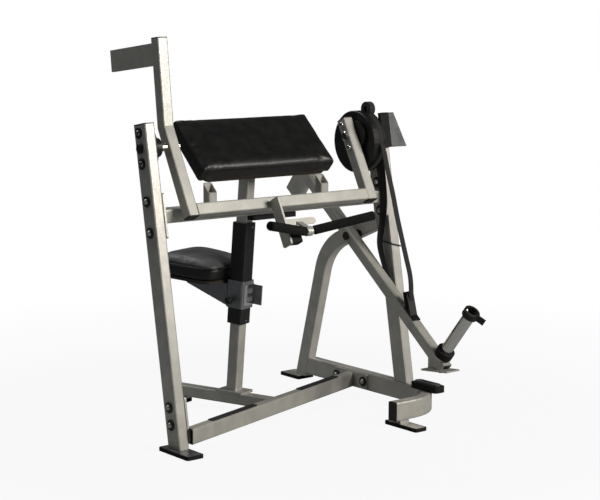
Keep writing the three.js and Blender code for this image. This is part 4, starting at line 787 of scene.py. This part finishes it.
SEAT_SIDE = 0.050
SEAT_TOP = 0.086
SEAT_SQUARE_SHARE = 0.42
SEAT_INSET = 0.004
SEAT_UNDER_INSET = 0.010
SEAT_UNDER_ROUND = 0.005
SEAT_MIDDLE_STRIP = 0.01
SEAT_DOME_SHARES = (0.12, 0.28, 0.48, 0.7, 0.88)
SEAT_DOME_POWER = 2.4
SEAT_NOSE_DROP_SHARE = 0.35
SEAT_POINTS = 64
WELT_RADIUS = 0.0022
WELT_INSET = 0.0055
WELT_SIDES = 8
WELT_LIFT = Vector((0.3, 0.2, 1.0)).normalized()


def seat_outline(inset, z):
    """The seat's outline: squared, a little wider at the rear."""
    def squared(value):
        return (1 if value >= 0 else -1) * abs(value) ** SEAT_SQUARE_SHARE

    points = []
    for i in range(SEAT_POINTS):
        angle = 2 * pi * (i + 0.5) / SEAT_POINTS
        x, y = squared(cos(angle)), squared(sin(angle))
        half = (SEAT_NOSE_WIDE + (SEAT_REAR_WIDE - SEAT_NOSE_WIDE) * (y + 1) / 2) / 2 - inset
        points.append(Vector((x * half, y * (SEAT_LONG / 2 - inset), z)))
    return points


def seat_cushion():
    """The seat cushion: a black upright border and a domed top panel, which falls off at the nose; the top
    panel's grey is painted light on the black vinyl.
    """
    rings = [
        seat_outline(SEAT_UNDER_INSET, 0.0),
        seat_outline(SEAT_INSET, SEAT_UNDER_ROUND),
        seat_outline(SEAT_INSET, SEAT_SIDE),
    ]
    for share in SEAT_DOME_SHARES:
        rise = (SEAT_TOP - SEAT_SIDE) * sqrt(1 - (1 - share) ** SEAT_DOME_POWER)
        inset = SEAT_INSET + (SEAT_NOSE_WIDE / 2 - SEAT_MIDDLE_STRIP) * share
        rings.append(seat_outline(inset, SEAT_SIDE + rise))
    seat = from_rings("seat_cushion_cover", rings)
    puff(seat)
    for vertex in seat.data.vertices:
        place = vertex.co
        if place.z > SEAT_SIDE:
            to_nose = max(0.0, -place.y / (SEAT_LONG / 2))
            place.z = SEAT_SIDE + (place.z - SEAT_SIDE) * (1 - SEAT_NOSE_DROP_SHARE * to_nose ** 2)
        inward = Vector((-place.x, -place.y, 0.0)).normalized()
        place += inward * 2 * SEAM_DEEP * bell(place.z - SEAT_SIDE, 2 * SEAM_WIDE)
    at_seat = SEAT_MATRIX @ Matrix.Translation((0.0, SEAT_FRONT + SEAT_LONG / 2, SEAT_LOW))
    seat.data.materials.append(PAD_VINYL)
    seat.data.materials.append(SEAT_TOP_PAINTED_LIGHT)
    # Faces above the border take the grey vinyl: painted light on the seat's lit top.
    for face in seat.data.polygons:
        face.material_index = 1 if face.center.z > SEAT_SIDE + SEAM_WIDE / 2 else 0
    seat.matrix_world = at_seat
    settle(seat, "seat_cushion_cover", None, "seat", CUSHION_ANGLE)
    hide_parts("seat_cushion")
    line = seat_outline(WELT_INSET, SEAT_SIDE)
    welt = tube_along("seat_welt", line + line[:2], WELT_RADIUS, WELT_SIDES)
    welt.matrix_world = at_seat
    settle(welt, "seat_welt", PAD_VINYL, "seat", CUSHION_ANGLE)


seat_cushion()


# Grips: foam sleeves with rounded ends over the handle bar

GRIP_ROUND_SHARE = 0.35
GRIP_OVERHANG_SHARE = 0.3


def grip(name, side, node):
    """One foam sleeve, on the left for side -1 and on the right for side 1."""
    root = Vector((side * HANDLE_FLAT, 0.0, 0.0))
    tip = Vector((side * HANDLE_HALF, -HANDLE_FORWARD, HANDLE_RISE))
    run = (tip - root).normalized()
    long = (tip - root).length - GRIP_START + GRIP_RADIUS * GRIP_OVERHANG_SHARE
    sleeve = cylinder(40, GRIP_RADIUS, long, long / 2)
    select_faces(sleeve, lambda place, normal: abs(normal.z) > FACING)
    bpy.ops.mesh.bevel(offset=GRIP_RADIUS * GRIP_ROUND_SHARE, segments=4, profile=0.5)
    object_mode()
    set_origin(sleeve)
    aim = run.to_track_quat("Z", "Y").to_matrix().to_4x4()
    sleeve.matrix_world = Matrix.Translation(DRAWING + HANDLE_PLACE + root + run * GRIP_START) @ aim
    settle(sleeve, name, FOAM, "handle")
    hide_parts(node)


grip("left_foam_grip", -1, "left_grip")
grip("right_foam_grip", 1, "right_grip")


# Belt from the cam down to the clamp on the weight arm, a little slack, so that it bows forward

WEBBING_ANGLE = 50.0
BELT_STEPS = 6
BELT_WIDE = 0.026
BELT_THICK = 0.0048
BELT_TOP = Vector((-0.0640, 1.0762))
BELT_ROUTE = (
    tuple(BELT_TOP), (-0.0790, 1.0300), (-0.1010, 0.9600), (-0.1290, 0.8800), (-0.1560, 0.7900),
    (-0.1860, 0.7040), (-0.2140, 0.6250), (-0.2350, 0.5650), (-0.2430, 0.5100), (-0.2430, 0.4350),
)


def drive_belt():
    """The belt, a fixed band on the frame; on the machine it shortens towards its top end as the weight arm
    rises.
    """
    x = DRAWING.x + LEVER_X
    line = smooth_line([Vector((x, y, z)) for y, z in BELT_ROUTE], BELT_STEPS)
    belt = ribbon("lifting_belt", line, (BELT_WIDE, BELT_WIDE), BELT_THICK, Vector((1.0, 0.0, 0.0)))
    only(belt)
    belt.data.materials.append(WEBBING)
    bpy.ops.object.shade_smooth_by_angle(angle=radians(WEBBING_ANGLE))
    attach(belt, "root")
    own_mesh(belt)
    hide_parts("drive_belt")


drive_belt()


# Limit strap: a webbing strap down the upright, held by a narrow tie round it; its wide top is partly
# painted shade, standing in for the shade on the upright's left face

STRAP_STEPS = 6
STRAP_THICK = 0.004
STRAP_OFF_FLANGE = 0.0093
# Widths at the top and the foot: the wide top covers the upright's shaded left face as painted shade, the
# narrow foot is the strap itself.
STRAP_AND_SHADE_WIDES = (0.056, 0.024)
TIE_STEPS = 4
TIE_WIDE = 0.006
TIE_THICK = 0.0016
TIE_ROUTE = (
    (0.5015, -0.0280, 0.6760), (0.5015, -0.0480, 0.6740), (0.5040, -0.0680, 0.6710),
    (0.5110, -0.0765, 0.6680), (0.5340, -0.0790, 0.6620), (0.5555, -0.0805, 0.6560),
    (0.5590, -0.0730, 0.6550), (0.5590, -0.0500, 0.6560),
)
STRAP_ROUTE = (
    (0.0040, 1.0780), (-0.0180, 1.0000), (-0.0350, 0.9200), (-0.0440, 0.8400), (-0.0370, 0.7600),
    (-0.0220, 0.6700), (-0.0420, 0.6000), (-0.0750, 0.5300), (-0.1040, 0.4740),
)


def limit_strap():
    """The strap and its tie; the strap's wide top is partly painted shade on the upright's left face."""
    x = DRAWING.x + RIGHT_FLANGE_X - STRAP_OFF_FLANGE
    line = smooth_line([Vector((x, y, z)) for y, z in STRAP_ROUTE], STRAP_STEPS)
    strap = ribbon("strap_and_painted_shade", line, STRAP_AND_SHADE_WIDES, STRAP_THICK, Vector((0.0, 1.0, 0.0)))
    settle(strap, "strap_and_painted_shade", WEBBING, "root", WEBBING_ANGLE)
    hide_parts("limit_strap")
    line = smooth_line([Vector(place) for place in TIE_ROUTE], TIE_STEPS)
    tie = ribbon("strap_tie", line, (TIE_WIDE, TIE_WIDE), TIE_THICK, Vector((0.0, 0.0, 1.0)))
    settle(tie, "strap_tie", WEBBING, "root", WEBBING_ANGLE)


limit_strap()


# Camera, light and floor

WHITE = (1.0, 1.0, 1.0, 1.0)


def camera():
    """The camera that took the photograph."""
    data = bpy.data.cameras.new("photo_camera")
    data.lens = CAMERA_LENS
    data.sensor_width = SENSOR_WIDE
    eye = bpy.data.objects.new("photo_camera", data)
    eye.location = DRAWING + CAMERA_PLACE
    eye.rotation_euler = (radians(90 - CAMERA_PITCH), 0.0, radians(CAMERA_AZIMUTH))
    bpy.context.scene.collection.objects.link(eye)
    bpy.context.scene.camera = eye


def soft_lamp(name, place, target, size, watts, colour):
    """A square soft box turned to a target."""
    data = bpy.data.lights.new(name, "AREA")
    data.shape = "RECTANGLE"
    data.size = size
    data.size_y = size
    data.energy = watts
    data.color = colour
    lamp = bpy.data.objects.new(name, data)
    lamp.location = place
    lamp.rotation_euler = (Vector(target) - Vector(place)).to_track_quat("-Z", "Y").to_euler()
    bpy.context.scene.collection.objects.link(lamp)


def white_to_the_eye(tree, surface, share):
    """Mixes white into what the camera sees of a surface."""
    seen = add_node(tree, "ShaderNodeLightPath").outputs["Is Camera Ray"]
    amount = add_node(tree, "ShaderNodeMath", {"operation": "MULTIPLY"}, {0: seen, 1: share})
    white = add_node(tree, "ShaderNodeEmission", None, {"Color": WHITE, "Strength": 1.0})
    inputs = {"Fac": amount.outputs["Value"], 1: surface, 2: white.outputs["Emission"]}
    return add_node(tree, "ShaderNodeMixShader", None, inputs).outputs["Shader"]


FLOOR_WHITE_SHARE = 0.92
FLOOR_SIZE = 60.0
FLOOR_Z = -0.0004
FLOOR_FADE_START = 1.2
FLOOR_FADE_END = 3.0


def floor():
    """A wide matt floor, nearly white to the camera so that it keeps a faint shadow."""
    deselect_all()
    bpy.ops.mesh.primitive_plane_add(size=FLOOR_SIZE, location=(0.0, 0.0, FLOOR_Z))
    ground = bpy.context.object
    ground.name = "studio_floor"
    made, tree, shader, where = new_material("white_studio_floor")
    shader.inputs["Base Color"].default_value = linear("#a4a6a8")
    shader.inputs["Roughness"].default_value = 0.9
    away = add_node(tree, "ShaderNodeVectorMath", {"operation": "LENGTH"}, {"Vector": where})
    share = between(tree, away.outputs["Value"], FLOOR_WHITE_SHARE, 1.0, FLOOR_FADE_START, FLOOR_FADE_END)
    seen = white_to_the_eye(tree, shader.outputs["BSDF"], share)
    tree.links.new(seen, tree.nodes["Material Output"].inputs["Surface"])
    ground.data.materials.append(made)


WORLD_STRENGTH = 0.05


def world():
    """A dim sky that the camera sees as white."""
    sky = bpy.data.worlds.new("studio_white")
    bpy.context.scene.world = sky
    sky.use_nodes = True
    tree = sky.node_tree
    plain = tree.nodes["Background"]
    plain.inputs["Color"].default_value = linear("#f4f6fa")
    plain.inputs["Strength"].default_value = WORLD_STRENGTH
    seen = add_node(tree, "ShaderNodeLightPath").outputs["Is Camera Ray"]
    white = add_node(tree, "ShaderNodeBackground", None, {"Color": WHITE, "Strength": 1.0})
    inputs = {"Fac": seen, 1: plain.outputs["Background"], 2: white.outputs["Background"]}
    mix = add_node(tree, "ShaderNodeMixShader", None, inputs)
    tree.links.new(mix.outputs["Shader"], tree.nodes["World Output"].inputs["Surface"])


# Place, target, size, watts and colour of each soft box
LAMPS = {
    "key_front_right": ((2.2, -4.8, 3.0), (0.0, 0.0, 0.7), 2.0, 275.0, (1.0, 0.96, 0.90)),
    "fill_left": ((-4.5, 0.5, 2.4), (0.0, 0.0, 0.7), 3.0, 6.0, (0.84, 0.92, 1.0)),
    "top_behind": ((-0.6, 2.2, 4.0), (0.0, 0.0, 0.6), 2.4, 70.0, (1.0, 0.99, 0.97)),
}

camera()
floor()
world()
for lamp_name, lamp in LAMPS.items():
    soft_lamp(lamp_name, *lamp)
bpy.context.scene.view_settings.view_transform = "Standard"
